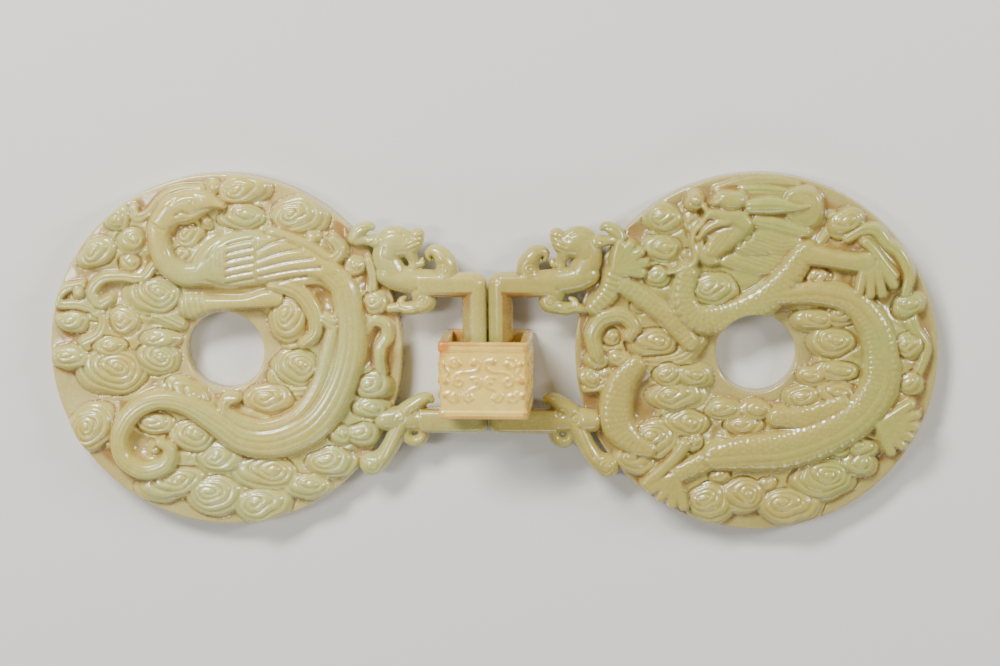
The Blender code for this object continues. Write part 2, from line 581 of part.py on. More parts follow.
def make_sleeve(name):
    """Square tube, open at both ends, with a raised band at each end and bosses on its four sides."""
    bm = bmesh.new()
    half_x, half_z = SLEEVE_WIDTH / 2, SLEEVE_DEPTH / 2
    mid_z = half_z + BAND_STEP
    bottom = LOWER_ARM_Y + POST_RADIUS + SLEEVE_GAP
    top = bottom + SLEEVE_HEIGHT
    low, high = bottom + BAND_BOTTOM, top - BAND_TOP
    wall, out, edge = SLEEVE_WALL, BAND_STEP, SLEEVE_CORNER
    outline = ((half_x - wall, half_z - wall, BORE_CORNER, bottom),
               (half_x + out, half_z + out, edge, bottom),
               (half_x + out, half_z + out, edge, low), (half_x, half_z, edge, low + out),
               (half_x, half_z, edge, high - out), (half_x + out, half_z + out, edge, high),
               (half_x + out, half_z + out, edge, top), (half_x - wall, half_z - wall, BORE_CORNER, top))
    rings = [square_ring(bm, a, b, corner, y, mid_z) for a, b, corner, y in outline]
    carved = 3
    for k, ring in enumerate(rings):
        after = rings[(k + 1) % len(rings)]
        for n in range(8):
            if k != carved or n % 2 == 0:
                bm.faces.new((ring[n], ring[(n + 1) % 8], after[(n + 1) % 8], after[n]))
    mid_y = (low + high) / 2
    tall = (high - low) / 2 - out
    for n, half in ((1, half_x), (3, half_z), (5, half_x), (7, half_z)):
        add_carved_side(bm, rings[carved][n], rings[carved][(n + 1) % 8], half - edge, tall, mid_y)
    bmesh.ops.remove_doubles(bm, verts=bm.verts, dist=THINNEST)
    bmesh.ops.recalc_face_normals(bm, faces=bm.faces)
    return new_object(name, bm)


def add_carved_side(bm, start, end, half_wide, half_tall, mid_y):
    """One side of the sleeve between its bands, with the bosses raised from it."""
    field = Field(half_wide + FACE_STEP, half_tall + FACE_STEP, FACE_STEP, SLEEVE_WIDTH / WIDTH_STEPS)
    sleeve_bosses(field)
    corners = [(-half_wide, -half_tall), (half_wide, -half_tall), (half_wide, half_tall),
               (-half_wide, half_tall)]

    def on_side(x, y):
        return (np.abs(x) < half_wide - RIM_MARGIN) & (np.abs(y) < half_tall - RIM_MARGIN)

    points, triangles = carved_patch(field, [corners], on_side, FACE_CORNERS, FACE_ROUNDS)
    middle = (start.co + end.co) / 2
    along = (end.co - start.co).normalized()
    outward = Vector((middle.x, 0, middle.z - SLEEVE_DEPTH / 2 - BAND_STEP)).normalized()
    verts = []
    for x, y in points:
        place = middle + along * x + outward * (field.at(x, y) if abs(x) < half_wide - RIM_MARGIN else 0)
        verts.append(bm.verts.new((place.x, mid_y + y, place.z)))
    for tri in triangles:
        bm.faces.new([verts[k] for k in tri])


def main():
    for obj in list(bpy.data.objects):
        bpy.data.objects.remove(obj)
    jade = make_material("yellow_green_nephrite_polished", (0.60, 0.58, 0.36))
    cream = make_material("cream_nephrite_polished", (0.74, 0.64, 0.40))
    dragon = make_material("yellow_green_nephrite_waxy", (0.58, 0.55, 0.34))
    for name, carve, side, material in (("phoenix_disc", phoenix_relief, -1, jade),
                                        ("dragon_disc", dragon_relief, 1, dragon)):
        finish(make_carved_disc(name, carve, side), material)
    finish(make_sleeve("sleeve"), cream)


main()
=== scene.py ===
# %% [markdown]
# # A linked pair of jade bi discs
# Two flat stone rings, one carved with a phoenix and one with a dragon, hang together on round posts
# inside a loose square sleeve. Nothing can be taken apart, so all of it was cut from one pale stone.
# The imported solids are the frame: each visible piece below stands where its solid stands.

# %% Load the frame
import math

import bmesh
import bpy
import numpy as np
from mathutils import Matrix, Vector


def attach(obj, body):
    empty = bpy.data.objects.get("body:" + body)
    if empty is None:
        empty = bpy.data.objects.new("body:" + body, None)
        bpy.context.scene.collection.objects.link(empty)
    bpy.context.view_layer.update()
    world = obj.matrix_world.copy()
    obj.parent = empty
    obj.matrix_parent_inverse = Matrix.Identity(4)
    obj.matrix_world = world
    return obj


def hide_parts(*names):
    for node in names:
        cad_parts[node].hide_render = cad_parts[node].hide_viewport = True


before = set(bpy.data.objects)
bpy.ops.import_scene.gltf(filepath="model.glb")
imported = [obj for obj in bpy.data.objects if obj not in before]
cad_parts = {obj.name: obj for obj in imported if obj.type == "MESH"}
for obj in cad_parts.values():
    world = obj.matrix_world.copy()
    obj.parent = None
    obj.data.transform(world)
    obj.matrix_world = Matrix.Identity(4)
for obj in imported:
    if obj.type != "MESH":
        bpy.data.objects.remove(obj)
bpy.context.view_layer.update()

MM = 0.001
print("solids:", sorted(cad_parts))

# %% [markdown]
# ## Camera
# The pair is long and low, so the camera looks down on it as it lies, from a little above the tops of the
# figures. A long lens keeps both discs nearly round. Its place was worked out from the outlines of the two
# discs, their holes and the sleeve, which are known sizes once each disc is taken as 100 mm across.

# %% Camera
CAMERA_PLACE = Vector((58.4, 122.05, 691.6)) * MM
CAMERA_TILT, CAMERA_TURN, CAMERA_ROLL = -9.626, 4.591, -0.523
LENS = 90.1

camera_data = bpy.data.cameras.new("camera")
camera_data.lens = LENS
camera_data.sensor_width = 36.0
camera_data.clip_start = 0.01
camera = bpy.data.objects.new("camera", camera_data)
bpy.context.scene.collection.objects.link(camera)
aim = Matrix.Rotation(math.radians(CAMERA_TURN), 4, "Y")
aim = aim @ Matrix.Rotation(math.radians(CAMERA_TILT), 4, "X")
aim = aim @ Matrix.Rotation(math.radians(CAMERA_ROLL), 4, "Z")
camera.matrix_world = Matrix.Translation(CAMERA_PLACE) @ aim
bpy.context.scene.camera = camera
print("camera is", round(CAMERA_PLACE.length, 3), "m from the middle of the pair")

# %% [markdown]
# ## Floor and light
# Polished jade shows its shape by its highlights, so it needs broad soft lights with clear edges: a long
# one and a small one from the left, one from the right, and a weak one from below the picture. The floor is
# plain and pale.

# %% Node helper and colours
def linear(hex_code):
    """sRGB hex such as C8B88A as the linear colour that a shader takes."""
    parts = [int(hex_code[k:k + 2], 16) / 255 for k in (0, 2, 4)]
    return tuple(c / 12.92 if c <= 0.04045 else ((c + 0.055) / 1.055) ** 2.4 for c in parts) + (1.0,)


def add_node(tree, kind, settings=None, **links):
    """Adds one node. settings holds its properties and socket values, and links its incoming sockets."""
    node = tree.nodes.new(kind)
    for key, value in (settings or {}).items():
        if hasattr(node, key):
            setattr(node, key, value)
        else:
            node.inputs[int(key) if key.isdigit() else key].default_value = value
    for key, source in links.items():
        name = key.replace("_", " ")
        target = node.inputs[int(key[1:])] if key[0] == "i" and key[1:].isdigit() else node.inputs[name]
        tree.links.new(source, target)
    return node


# %% Floor and lights
FLOOR_SIZE = 6.0
FLOOR_DROP = 0.00005

bm = bmesh.new()
bmesh.ops.create_grid(bm, x_segments=2, y_segments=2, size=FLOOR_SIZE / 2)
bmesh.ops.translate(bm, vec=(0, 0, -FLOOR_DROP), verts=bm.verts)
floor_mesh = bpy.data.meshes.new("floor")
bm.to_mesh(floor_mesh)
bm.free()
floor = bpy.data.objects.new("floor", floor_mesh)
bpy.context.scene.collection.objects.link(floor)
paper = bpy.data.materials.new("matt_paper_backdrop")
paper.use_nodes = True
paper_shader = paper.node_tree.nodes["Principled BSDF"]
paper_shader.inputs["Base Color"].default_value = linear("D9D6CF")
paper_shader.inputs["Roughness"].default_value = 0.9
floor_mesh.materials.append(paper)


def softbox(name, place, size_x, size_y, power):
    """Area light at a place in metres, aimed at the middle of the pair."""
    data = bpy.data.lights.new(name, "AREA")
    data.shape = "RECTANGLE"
    data.size, data.size_y = size_x, size_y
    data.energy = power
    light = bpy.data.objects.new(name, data)
    light.location = place
    light.rotation_euler = (-Vector(place)).to_track_quat("-Z", "Y").to_euler()
    bpy.context.scene.collection.objects.link(light)


softbox("key_upper_left", (-0.42, 0.68, 0.66), 0.44, 0.18, 16.0)
softbox("side_right", (0.75, 0.3, 0.45), 0.1, 0.4, 6.0)
softbox("overhead_left", (-0.5, 0.05, 0.75), 0.12, 0.3, 3.0)
softbox("low_front", (0.1, -0.85, 0.45), 0.7, 0.15, 2.0)
world = bpy.data.worlds.new("studio")
world.use_nodes = True
sky = world.node_tree.nodes["Background"]
sky.inputs["Color"].default_value = linear("E8E6E2")
sky.inputs["Strength"].default_value = 0.27
bpy.context.scene.world = world

# %% [markdown]
# ## Sizes
# These are the pair's sizes in millimetres, the same as the solids'. Heights are measured from the back.

# %% Sizes
DISC_RADIUS = 50.0
HOLE_RADIUS = 11.0
GROUND_Z = 6.2
EDGE_ROUND = 0.7
CENTRE_X = 74.25
POST_RADIUS = 3.45
POST_GAP = 0.4
POST_X = POST_RADIUS + POST_GAP / 2
POST_Z = 6.2
UPPER_ARM_Y = 19.1
LOWER_ARM_Y = -19.35
print("disc:", 2 * DISC_RADIUS, "mm across,", GROUND_Z, "mm thick, hole", 2 * HOLE_RADIUS, "mm")
print("posts:", 2 * POST_RADIUS, "mm thick and", POST_GAP, "mm apart")

# %% [markdown]
# ## The carver's strokes
# High relief on a disc is a field of heights over a flat face. A real carver lowers the ground round each
# form and then cuts lines into it, so the field keeps two things: how high the form stands, and how deep
# its lines go. Each form is a dome or a rounded stroke, and where two meet, the higher one covers the lower
# one's lines. Bodies stand highest, then limbs, then clouds, hair and thin curls.

# %% A field of heights
GRID_STEP = 0.2
BODY_HIGH = 4.8
LIMB_HIGH = 4.0
CLOUD_HIGH = 3.3
HAIR_HIGH = 3.0
THIN_HIGH = 2.4
CLOUD_FULLNESS = 1.2
SWAY = 0.45
BED_REACH = 2.8
BED_SHARE = 0.6
TOE_WIDTH = 1.9


def smooth_path(points, spacing):
    """Evenly rounded path through points of x, y and half width, with one place for each spacing."""
    pts = [np.array(p, float) for p in points]
    pts = [2 * pts[0] - pts[1]] + pts + [2 * pts[-1] - pts[-2]]
    path = []
    for p0, p1, p2, p3 in zip(pts, pts[1:], pts[2:], pts[3:]):
        steps = max(2, int(np.hypot(*(p2 - p1)[:2]) / spacing))
        for k in range(steps):
            t = k / steps
            path.append(0.5 * (2 * p1 + (p2 - p0) * t + (2 * p0 - 5 * p1 + 4 * p2 - p3) * t ** 2
                               + (3 * p1 - p0 - 3 * p2 + p3) * t ** 3))
    path.append(pts[-2])
    return path


def groove(offset, half_width):
    """1 in the middle of a cut line and near 0 outside it."""
    return np.exp(-(offset / half_width) ** 2)


def wander(x, y, turn):
    """Smooth irregular number at each place, for outlines that a hand cut rather than a machine."""
    slow = np.sin(x / 3.1 + 1.4 * np.sin(y / 2.7 + turn))
    quick = np.sin(x / 1.3 + y / 1.7 + turn)
    return 0.6 * slow + 0.4 * quick


class Carving:
    """Heights and cut lines of a carved face on a square grid around its middle, in millimetres."""

    def __init__(self, half_x, half_y, step=GRID_STEP):
        self.step = step
        self.nx, self.ny = int(round(half_x / step)), int(round(half_y / step))
        self.x = np.arange(-self.nx, self.nx + 1) * step
        self.y = np.arange(-self.ny, self.ny + 1) * step
        self.high = np.zeros((len(self.y), len(self.x)))
        self.cut = np.zeros_like(self.high)

    def window(self, x, y, reach):
        """The part of the grid within reach of a place, and where its points lie from that place."""
        i0, i1 = np.searchsorted(self.x, (x - reach, x + reach))
        j0, j1 = np.searchsorted(self.y, (y - reach, y + reach))
        gx, gy = np.meshgrid(self.x[i0:i1] - x, self.y[j0:j1] - y)
        return (slice(j0, j1), slice(i0, i1)), gx, gy

    def lay(self, part, lift, cut):
        """Lays a form over a part of the grid where it stands higher than what is there."""
        covers = lift > self.high[part]
        self.high[part] = np.where(covers, lift, self.high[part])
        self.cut[part] = np.where(covers, cut, self.cut[part])

    def dome(self, x, y, a, b, high, turn=0.0, mark=None):
        """Steep-sided low dome with half axes a and b, and a slightly wandering outline."""
        part, gx, gy = self.window(x, y, max(a, b) + 2 * SWAY)
        gx, gy = gx + SWAY * wander(gx + x, gy + y, 0.0), gy + SWAY * wander(gy + y, gx + x, 2.0)
        c, s = math.cos(math.radians(turn)), math.sin(math.radians(turn))
        u, v = (gx * c + gy * s) / a, (gy * c - gx * s) / b
        lift = high * np.sqrt(np.clip(1 - np.hypot(u, v) ** 4, 0, 1))
        self.lay(part, lift, mark(u, v, min(a, b)) if mark else np.zeros_like(lift))

    def clouds(self, places, high):
        """Clouds given as x, y, two half axes and, where they slope, a turn. Their spirals alternate."""
        for k, (x, y, a, b, *slope) in enumerate(places):
            turn = slope[0] if slope else 0
            self.dome(x, y, a * CLOUD_FULLNESS, b * CLOUD_FULLNESS, high, turn, cloud_mark((-1) ** k))

    def fill_gaps(self):
        """Leaves low stone between forms that stand close together, and none where the ground is open."""
        low = np.minimum(self.high, CLOUD_HIGH)
        rates = [np.fft.fftfreq(n, self.step) ** 2 for n in low.shape]
        keep = np.exp(-2 * (math.pi * BED_REACH) ** 2 * np.add.outer(*rates))
        near = np.fft.ifft2(np.fft.fft2(low) * keep).real
        bed = np.clip(3 * near - 1.5 * CLOUD_HIGH, 0, BED_SHARE * CLOUD_HIGH)
        self.lay(slice(None), bed, np.zeros_like(bed))

    def trace(self, points):
        """For each place near a path: distance as a share of the half width, mm across, mm along, width."""
        d = np.full_like(self.high, 9.0)
        across, along, width = np.zeros_like(d), np.zeros_like(d), np.ones_like(d)
        path = smooth_path(points, 0.25)
        run = 0.0
        for k, (x, y, w) in enumerate(path):
            ahead = path[min(k + 1, len(path) - 1)] - path[max(k - 1, 0)]
            length = math.hypot(ahead[0], ahead[1]) or 1.0
            tx, ty = ahead[0] / length, ahead[1] / length
            part, gx, gy = self.window(x, y, w * 1.3)
            share = np.hypot(gx, gy) / w
            near = share < d[part]
            d[part] = np.where(near, share, d[part])
            across[part] = np.where(near, gy * tx - gx * ty, across[part])
            along[part] = np.where(near, run + gx * tx + gy * ty, along[part])
            width[part] = np.where(near, w, width[part])
            run += length / 2
        return d, across, along, width

    def stroke(self, high, *points, mark=None):
        """Rounded ridge along points given as x, y and half width."""
        d, across, along, width = self.trace(points)
        lift = high * np.sqrt(np.clip(1 - d ** 4, 0, 1))
        self.lay(slice(None), lift, mark(across, along, width) if mark else np.zeros_like(lift))

    def dip(self, x, y, size, depth):
        """Small round hollow."""
        part, gx, gy = self.window(x, y, size * 3)
        self.cut[part] = np.maximum(self.cut[part], depth * groove(np.hypot(gx, gy), size))

    def line(self, depth, *points, half_width=0.24):
        """Cut line through points given as x and y."""
        d = self.trace([(x, y, half_width * 2) for x, y in points])[0]
        self.cut = np.maximum(self.cut, depth * groove(d, 0.5))

    def fan(self, high, start, width, *tips):
        """Toes that spread from one start, each with a faint line along it."""
        faint = plume_mark(0.0, depth=0.12)
        for x, y in tips:
            middle = ((start[0] + x) / 2, (start[1] + y) / 2, width * 1.1)
            self.stroke(high, (*start, width), middle, (x, y, width * 0.9), mark=faint)

    def soften(self, times, cut_times=1):
        """Rounds every step by averaging each place with its neighbours."""
        for field, count in ((self.high, times), (self.cut, cut_times)):
            for _ in range(count):
                field[:, 1:-1] = (field[:, :-2] + 2 * field[:, 1:-1] + field[:, 2:]) / 4
                field[1:-1] = (field[:-2] + 2 * field[1:-1] + field[2:]) / 4

    def at(self, x, y):
        """Height at many places, read between the grid's places."""
        surface = self.high - self.cut
        fx = np.clip(x / self.step + self.nx, 0, 2 * self.nx - 1.001)
        fy = np.clip(y / self.step + self.ny, 0, 2 * self.ny - 1.001)
        i, j = fx.astype(int), fy.astype(int)
        u, v = fx - i, fy - j
        return ((surface[j, i] * (1 - u) + surface[j, i + 1] * u) * (1 - v)
                + (surface[j + 1, i] * (1 - u) + surface[j + 1, i + 1] * u) * v)


# %% [markdown]
# ## The marks of the wheel
# The carver's small wheels leave a few kinds of line again and again: the spiral in each cloud, lines that
# run with a plume, scales on the dragon, and ridges across its belly. Each is a rule that gives the depth
# of cut.

# %% Marks
LINE_PITCH = 1.4
LINE_DEPTH = 0.46
CLOUD_FALL = 1.1
SCALE_SIZE = 1.55
RIDGE_PITCH = 1.6
BELLY_PITCH = 1.8


def cloud_mark(hand):
    """Spiral of cut lines round a bead that sits off the middle, on a cloud that falls to its rim."""
    def mark(u, v, size):
        d = np.clip(np.hypot(u, v), 0, 1)
        u, v = u + 0.3 * hand * (1 - d), v - 0.25 * (1 - d)
        out = np.hypot(u, v) * size
        turns = out / LINE_PITCH - hand * np.arctan2(v, u) / (2 * math.pi)
        line = (0.5 + 0.5 * np.cos(2 * math.pi * turns)) ** 3
        bead = groove(out, 0.75)
        return LINE_DEPTH * line * (d < 0.94) * (1 - bead) - 0.35 * bead + CLOUD_FALL * d ** 1.5
    return mark


def eye_mark(u, v, size):
    """Ring cut round a small ball."""
    return 0.45 * groove(np.hypot(u, v) - 0.55, 0.16)


def rim_mark(u, v, size):
    """Hollow face inside a raised rim, as on a leaf-shaped lobe of the mane."""
    return 0.5 * np.clip((0.78 - np.hypot(u, v)) / 0.12, 0, 1)


def plume_mark(*shares, depth=0.35):
    """Lines that run along a plume at these shares of its half width."""
    def mark(across, along, width):
        return depth * np.max([groove(across - s * width, 0.3) for s in shares], axis=0)
    return mark


one_line = plume_mark(0.0, depth=0.25)
two_lines = plume_mark(-0.4, 0.4, depth=0.25)


def scale_mark(across, along, width):
    """Rows of small overlapping scales that fade towards the sides of the body."""
    row = np.floor(along / SCALE_SIZE)
    u = along / SCALE_SIZE - row
    v = across / SCALE_SIZE + 0.5 * (row % 2)
    v = v - np.floor(v) - 0.5
    out = np.hypot(v, u * 0.8)
    rise = 0.04 * np.clip(1 - out / 0.5, 0, 1)
    fade = np.clip((0.95 - np.abs(across) / width) / 0.25, 0, 1)
    return (0.2 * groove(out - 0.5, 0.12) - rise) * fade


def spine_mark(across, along, width):
    """Scales with a smooth raised ridge along the back."""
    ridge = groove(across - 0.2 * width, 0.6)
    beside = groove(np.abs(across - 0.2 * width) - 1.1, 0.3)
    return scale_mark(across, along, width) * (1 - ridge) * (1 - beside) + 0.22 * beside - 0.1 * ridge


def belly_mark(across, along, width):
    """Scales on the back and ridges across the belly."""
    ridges = 0.38 * (0.5 + 0.5 * np.cos(2 * math.pi * along / BELLY_PITCH)) ** 2
    return np.where(across < -0.45 * width, ridges, scale_mark(across, along, width))


def ridge_mark(across, along, width):
    """Close ridges across a limb."""
    return 0.36 * (0.5 + 0.5 * np.cos(2 * math.pi * along / RIDGE_PITCH)) ** 2


# %% [markdown]
# ## Phoenix
# The phoenix looks right over its own back. Its neck bends like an S, its wing is folded, and its tail
# plumes sweep round the lower half of the disc to a curl at the lower left. Clouds fill the rest.

# %% Phoenix clouds and curls
def phoenix_clouds(c):
    """The clouds round the phoenix, and a few lower ones between them."""
    c.clouds((
        (6.5, 45.5, 7.5, 4, 10), (6, 38, 6.5, 4), (22, 38, 7.5, 5.5), (26, 32, 2.5, 2.5),
        (-29, 37.4, 3.8, 3.4, 45), (-25.3, 31.6, 4.1, 3.6), (-35, 28, 6, 3.5, 25), (-41, 16.5, 2, 2),
        (-43, 8.5, 4.8, 3.2), (-19.5, 16, 8, 6), (-28, 8.5, 4.2, 4.2), (-32.5, 1.5, 5, 3),
        (-18.5, 3.5, 5.5, 2.8), (-19.5, -2, 6.5, 5), (-44, -2, 5.5, 3.5), (-32.5, -5.5, 9.5, 6.5),
        (-38, -22, 7.5, 6, 35), (-10.5, -12, 6.5, 3.8, -30), (-20, -20.5, 5.8, 3.6), (-10, -24.5, 7, 4.5),
        (-1.5, -31, 7.2, 4.2), (-16, -38, 10, 4.8, 15), (-3.5, -41.5, 8, 5.8), (10.5, -34.5, 9.4, 5.4),
        (10, -44, 8, 4.8, 10), (22.5, -38.5, 6.8, 3.8), (29.5, -31.5, 7, 4.2), (32.5, -23.5, 3.5, 3.5),
        (38.5, -23.5, 5, 3.5), (41, -16, 5.5, 3.3), (42, -9.5, 5.2, 3.8), (37.5, 24.5, 3.5, 3),
        (43, 14, 3.5, 3.3), (20.5, -4.5, 6.6, 5.4), (13, -13.5, 7.4, 4.2)), CLOUD_HIGH)
    c.clouds((
        (-9.2, 33, 4.2, 3.8), (-4.2, 36.8, 2.4, 2.6), (-10.8, 27.8, 2.6, 2.4), (-26.3, 25.2, 3.2, 3.4),
        (-20.4, -27.8, 2.6, 3), (-36, 10.5, 3.6, 2.6)), THIN_HIGH)


def phoenix_curls(c):
    """Thin curls between the clouds and at the rim."""
    c.stroke(THIN_HIGH + 0.6, (-19, 24.5, 1.6), (-22.5, 20.8, 1.7), (-28.5, 21.2, 1.6), (-34, 20.6, 1.7),
             (-37, 17, 1.8), (-35, 13.5, 1.8), (-32, 15, 1.5), mark=one_line)
    c.stroke(THIN_HIGH, (-40, 18.8, 1.4), (-45, 17.5, 1.5), (-47, 13.5, 1.5), (-40, 13, 1.6),
             (-34.5, 9.5, 1.6), (-35.5, 5, 1.6), (-40, 2.5, 1.6), mark=one_line)
    c.stroke(THIN_HIGH, (41.5, 26, 1.4), (42.5, 20.5, 1.5), (42, 16, 1.5), mark=one_line)
    c.stroke(THIN_HIGH, (40, 6.5, 1.8), (42, 9, 1.9), (45.5, 8, 1.8), (46, 4.5, 1.8), (44, 0.5, 1.8),
             (44.5, -6.5, 1.8), mark=two_lines)
    c.stroke(THIN_HIGH, (-18.5, 11, 3), (-12.5, 8, 2.2), mark=plume_mark(-0.6, -0.1, 0.4))
    c.stroke(THIN_HIGH, (-5, 46, 1.2), (-12, 45.4, 1.4), (-16.8, 42.8, 1.5), (-20.5, 39, 1.5),
             (-24, 38, 1.7), (-24.5, 40.5, 1.4), mark=one_line)
    c.dome(-1.8, 46, 2.2, 2.2, THIN_HIGH + 0.6, 0, eye_mark)
    c.stroke(THIN_HIGH, (30.5, 5.5, 2), (28, -3.5, 2.8), (23, -10.5, 3), (17, -11, 2.6), (14, -7.5, 2.2),
             (16, -4, 1.8), mark=plume_mark(-0.5, 0, 0.5, depth=0.25))


# %% Phoenix plumes
def phoenix_plumes(c):
    """Plumes that curl away from the wing and the tail, and the leg with its ridges."""
    c.dome(18.8, 9.6, 6.6, 7.6, LIMB_HIGH, 0, cloud_mark(1))
    c.stroke(LIMB_HIGH, (14.5, 19.5, 2.5), (21, 17.6, 3), (25.4, 12, 2.8), (26, 6, 2.2), (22.5, 2.6, 1.7),
             mark=plume_mark(-0.5, 0, 0.5, depth=0.28))
    c.stroke(LIMB_HIGH, (20.5, 21.5, 3.2), (28.5, 22, 3.6), (34, 18, 3.6), (35, 12.5, 3.4), (32, 8.4, 3),
             (29, 9.6, 2.2), mark=plume_mark(-0.5, 0.1, 0.6, depth=0.28))
    c.stroke(LIMB_HIGH, (15, 33, 2.8), (23, 30.5, 2.4), (30.5, 26.5, 2), (33.8, 29, 2), (31.5, 32, 1.6),
             mark=one_line)
    c.stroke(LIMB_HIGH, (31.5, 6.5, 2.6), (27, -9, 2.8), (20.5, -18, 2.8), (12, -21.5, 2.7),
             (5, -20.5, 2.6), (0.2, -17.5, 2.3), (0.2, -14, 2), (3.2, -13.2, 1.5), mark=two_lines)
    c.stroke(LIMB_HIGH, (-9, 13, 4), (-5.6, 13.6, 3.2), mark=ridge_mark)
    c.stroke(LIMB_HIGH, (-6, 13.6, 2.8), (-2, 13.8, 2.2), (6.5, 14.2, 2), (12.6, 15.2, 2.9),
             (15.5, 15, 2.4))


# %% Phoenix body and head
def phoenix_body(c):
    """Long tail with its curl, breast and wing, with feather lines and small pits."""
    c.stroke(BODY_HIGH, (30, 23, 3.8), (34.6, 17.5, 4.2), (36, 4, 4.6), (32.6, -9.5, 5), (25.6, -20, 5.4),
             (15, -25.4, 5.2), (5, -25, 4.8), (-3, -19.6, 4.2), (-11, -15, 3.4), (-19, -13.8, 3.1),
             (-26, -17, 3), (-30.4, -24, 3), (-29.4, -30.8, 3), (-23.8, -34.2, 3), (-17.6, -32.4, 2.9),
             (-16, -28, 2.2), (-19, -25.8, 1.6),
             mark=plume_mark(-0.72, -0.42, -0.1, 0.3, 0.66, depth=0.2))
    c.stroke(BODY_HIGH, (-6, 22.2, 3.7), (-2.4, 24.4, 6.1), (1.6, 25.4, 7.8), (8.4, 26.6, 8.5),
             (15, 26.3, 7.6), (22, 25.8, 5.3), (27, 24.4, 4), (31, 22.6, 3.8))
    for k in range(6):
        y = 31.6 - 2.2 * k
        c.line(0.62, (2.4 - 0.2 * k, y - 1), (5.4, y - 0.2), (9.2, y + 0.5), half_width=0.42)
    for x, y, reach in ((18.4, 32.4, 0.9), (22.6, 29.6, 0.8), (26, 27, 0.6), (28, 24.4, 0.3),
                        (24, 21.6, 0)):
        start = (10.6, y - 2.4 - reach)
        c.line(0.62, start, ((start[0] + x) / 2, (start[1] + y) / 2 + 0.4), (x, y), half_width=0.42)
    c.line(0.5, (9.8, 33.6), (10.2, 28), (9.9, 24), (10.2, 19.4), half_width=0.35)
    c.line(0.4, (-3.8, 26.8), (-1, 30.6), (3.2, 32.8), (9.4, 33.8), (16, 32.6), (23, 29.6), half_width=0.4)
    c.line(0.45, (-4.4, 20.6), (0.6, 18.9), (8, 18.6), (15, 19.6), (24, 21.8), half_width=0.4)
    for k in range(9):
        for n in range(4):
            c.dip(-2.2 + 1.15 * n + 0.3 * (k % 2), 21.6 + 0.95 * k, 0.32, 0.16)


def phoenix_head(c):
    """Neck, head and beak, with their cut lines and the eye."""
    c.stroke(BODY_HIGH, (-13.6, 39.6, 4.4), (-17, 35.4, 3.7), (-17.2, 30.6, 3.5), (-15.4, 25.4, 3.6),
             (-11, 22.2, 3.7), (-6, 22.2, 3.7))
    c.stroke(BODY_HIGH, (-13.6, 39.8, 4.4), (-9.6, 40.8, 4.9), (-5.6, 42.2, 3.8), (-2.2, 42.3, 2.3),
             (0.8, 41.3, 1.1))
    c.line(0.55, (0.4, 40.8), (-4.2, 40.6), (-8, 39.2), (-10.6, 39.8), (-12.2, 38.8), half_width=0.38)
    c.line(0.4, (-13.4, 42), (-11, 44.2), (-7.6, 44.7), (-4.6, 43.6), half_width=0.35)
    c.line(0.35, (-18.6, 36.4), (-16, 34.8), (-13.4, 35.4), half_width=0.35)
    c.dome(-8.1, 42.5, 1.2, 1.1, BODY_HIGH + 0.45, 0, eye_mark)


def carve_phoenix(c):
    """The whole face of the phoenix disc. The gaps are filled last, once every form stands."""
    phoenix_clouds(c)
    phoenix_curls(c)
    phoenix_plumes(c)
    phoenix_body(c)
    phoenix_head(c)
    c.fill_gaps()


# %% [markdown]
# ## Dragon
# The dragon's head is at the top, with its mouth open to the left and its mane blown back to the right. Its
# scaled body loops down the right side and along the bottom, its tail curls up at the left, and its feet
# spread their toes among the clouds.

# %% Dragon clouds and curls
def dragon_clouds(c):
    """The clouds round the dragon, and a few lower ones between them."""
    c.clouds((
        (-25, 37.5, 5.8, 4.2), (-26, 29.4, 5.6, 3.7), (-27, 21.6, 4.2, 3.2), (24, 36.2, 5.2, 3.6, 30),
        (16.6, 21.8, 4.4, 3), (41.5, 13.6, 4.8, 3.2, 20), (42, 2.4, 4, 4), (16, 9.6, 5.8, 3.2),
        (23.8, 11.2, 5, 3.2), (21, 3.4, 6.4, 4.6), (15.8, -6.4, 4.2, 3.2), (21.8, -4.8, 7.2, 3),
        (14, -12.4, 6.2, 3.8), (21.8, -10.8, 6.5, 3.7), (-8.7, -15.6, 5.2, 3.2), (0.2, -15.6, 4.7, 2.7),
        (-2.8, -20, 5.6, 3.5), (-28.6, 3.2, 7.2, 4.4), (-24, -6, 4.2, 3.5), (-17.6, -6.5, 5.6, 3.7),
        (-21.6, -12, 7.8, 4.2), (-19.2, -19.6, 6.6, 4.2), (-26.8, -24.7, 6.5, 5.5), (-17, -25, 3.2, 3.2),
        (-33.3, -30.5, 5.7, 3.6, -20), (-44, -2, 3.2, 3.2), (-37.5, -1.5, 4.2, 2.8),
        (-45.8, -7, 2.8, 2.8), (-12.2, -42, 6.7, 5.8), (-3.5, -40, 6.4, 5.4), (-9.6, -34.3, 3, 2.8),
        (18.6, -35, 9.2, 6.2, 10), (10, -43, 8.5, 5.2), (22.8, -26, 4.2, 3.7), (29.4, -26.4, 4.7, 3.3),
        (28.4, -30.8, 5.2, 3.6), (42.7, -8, 3.4, 3.2)), CLOUD_HIGH)
    c.clouds((
        (-17.4, 36.4, 3.4, 5.4), (-19, 26.8, 3.6, 3.2), (-40.6, -6.2, 4.4, 3), (-32, 13, 3.6, 2.8),
        (3.6, -36.6, 4, 3), (-40, 4.8, 3.4, 3.4)), THIN_HIGH)


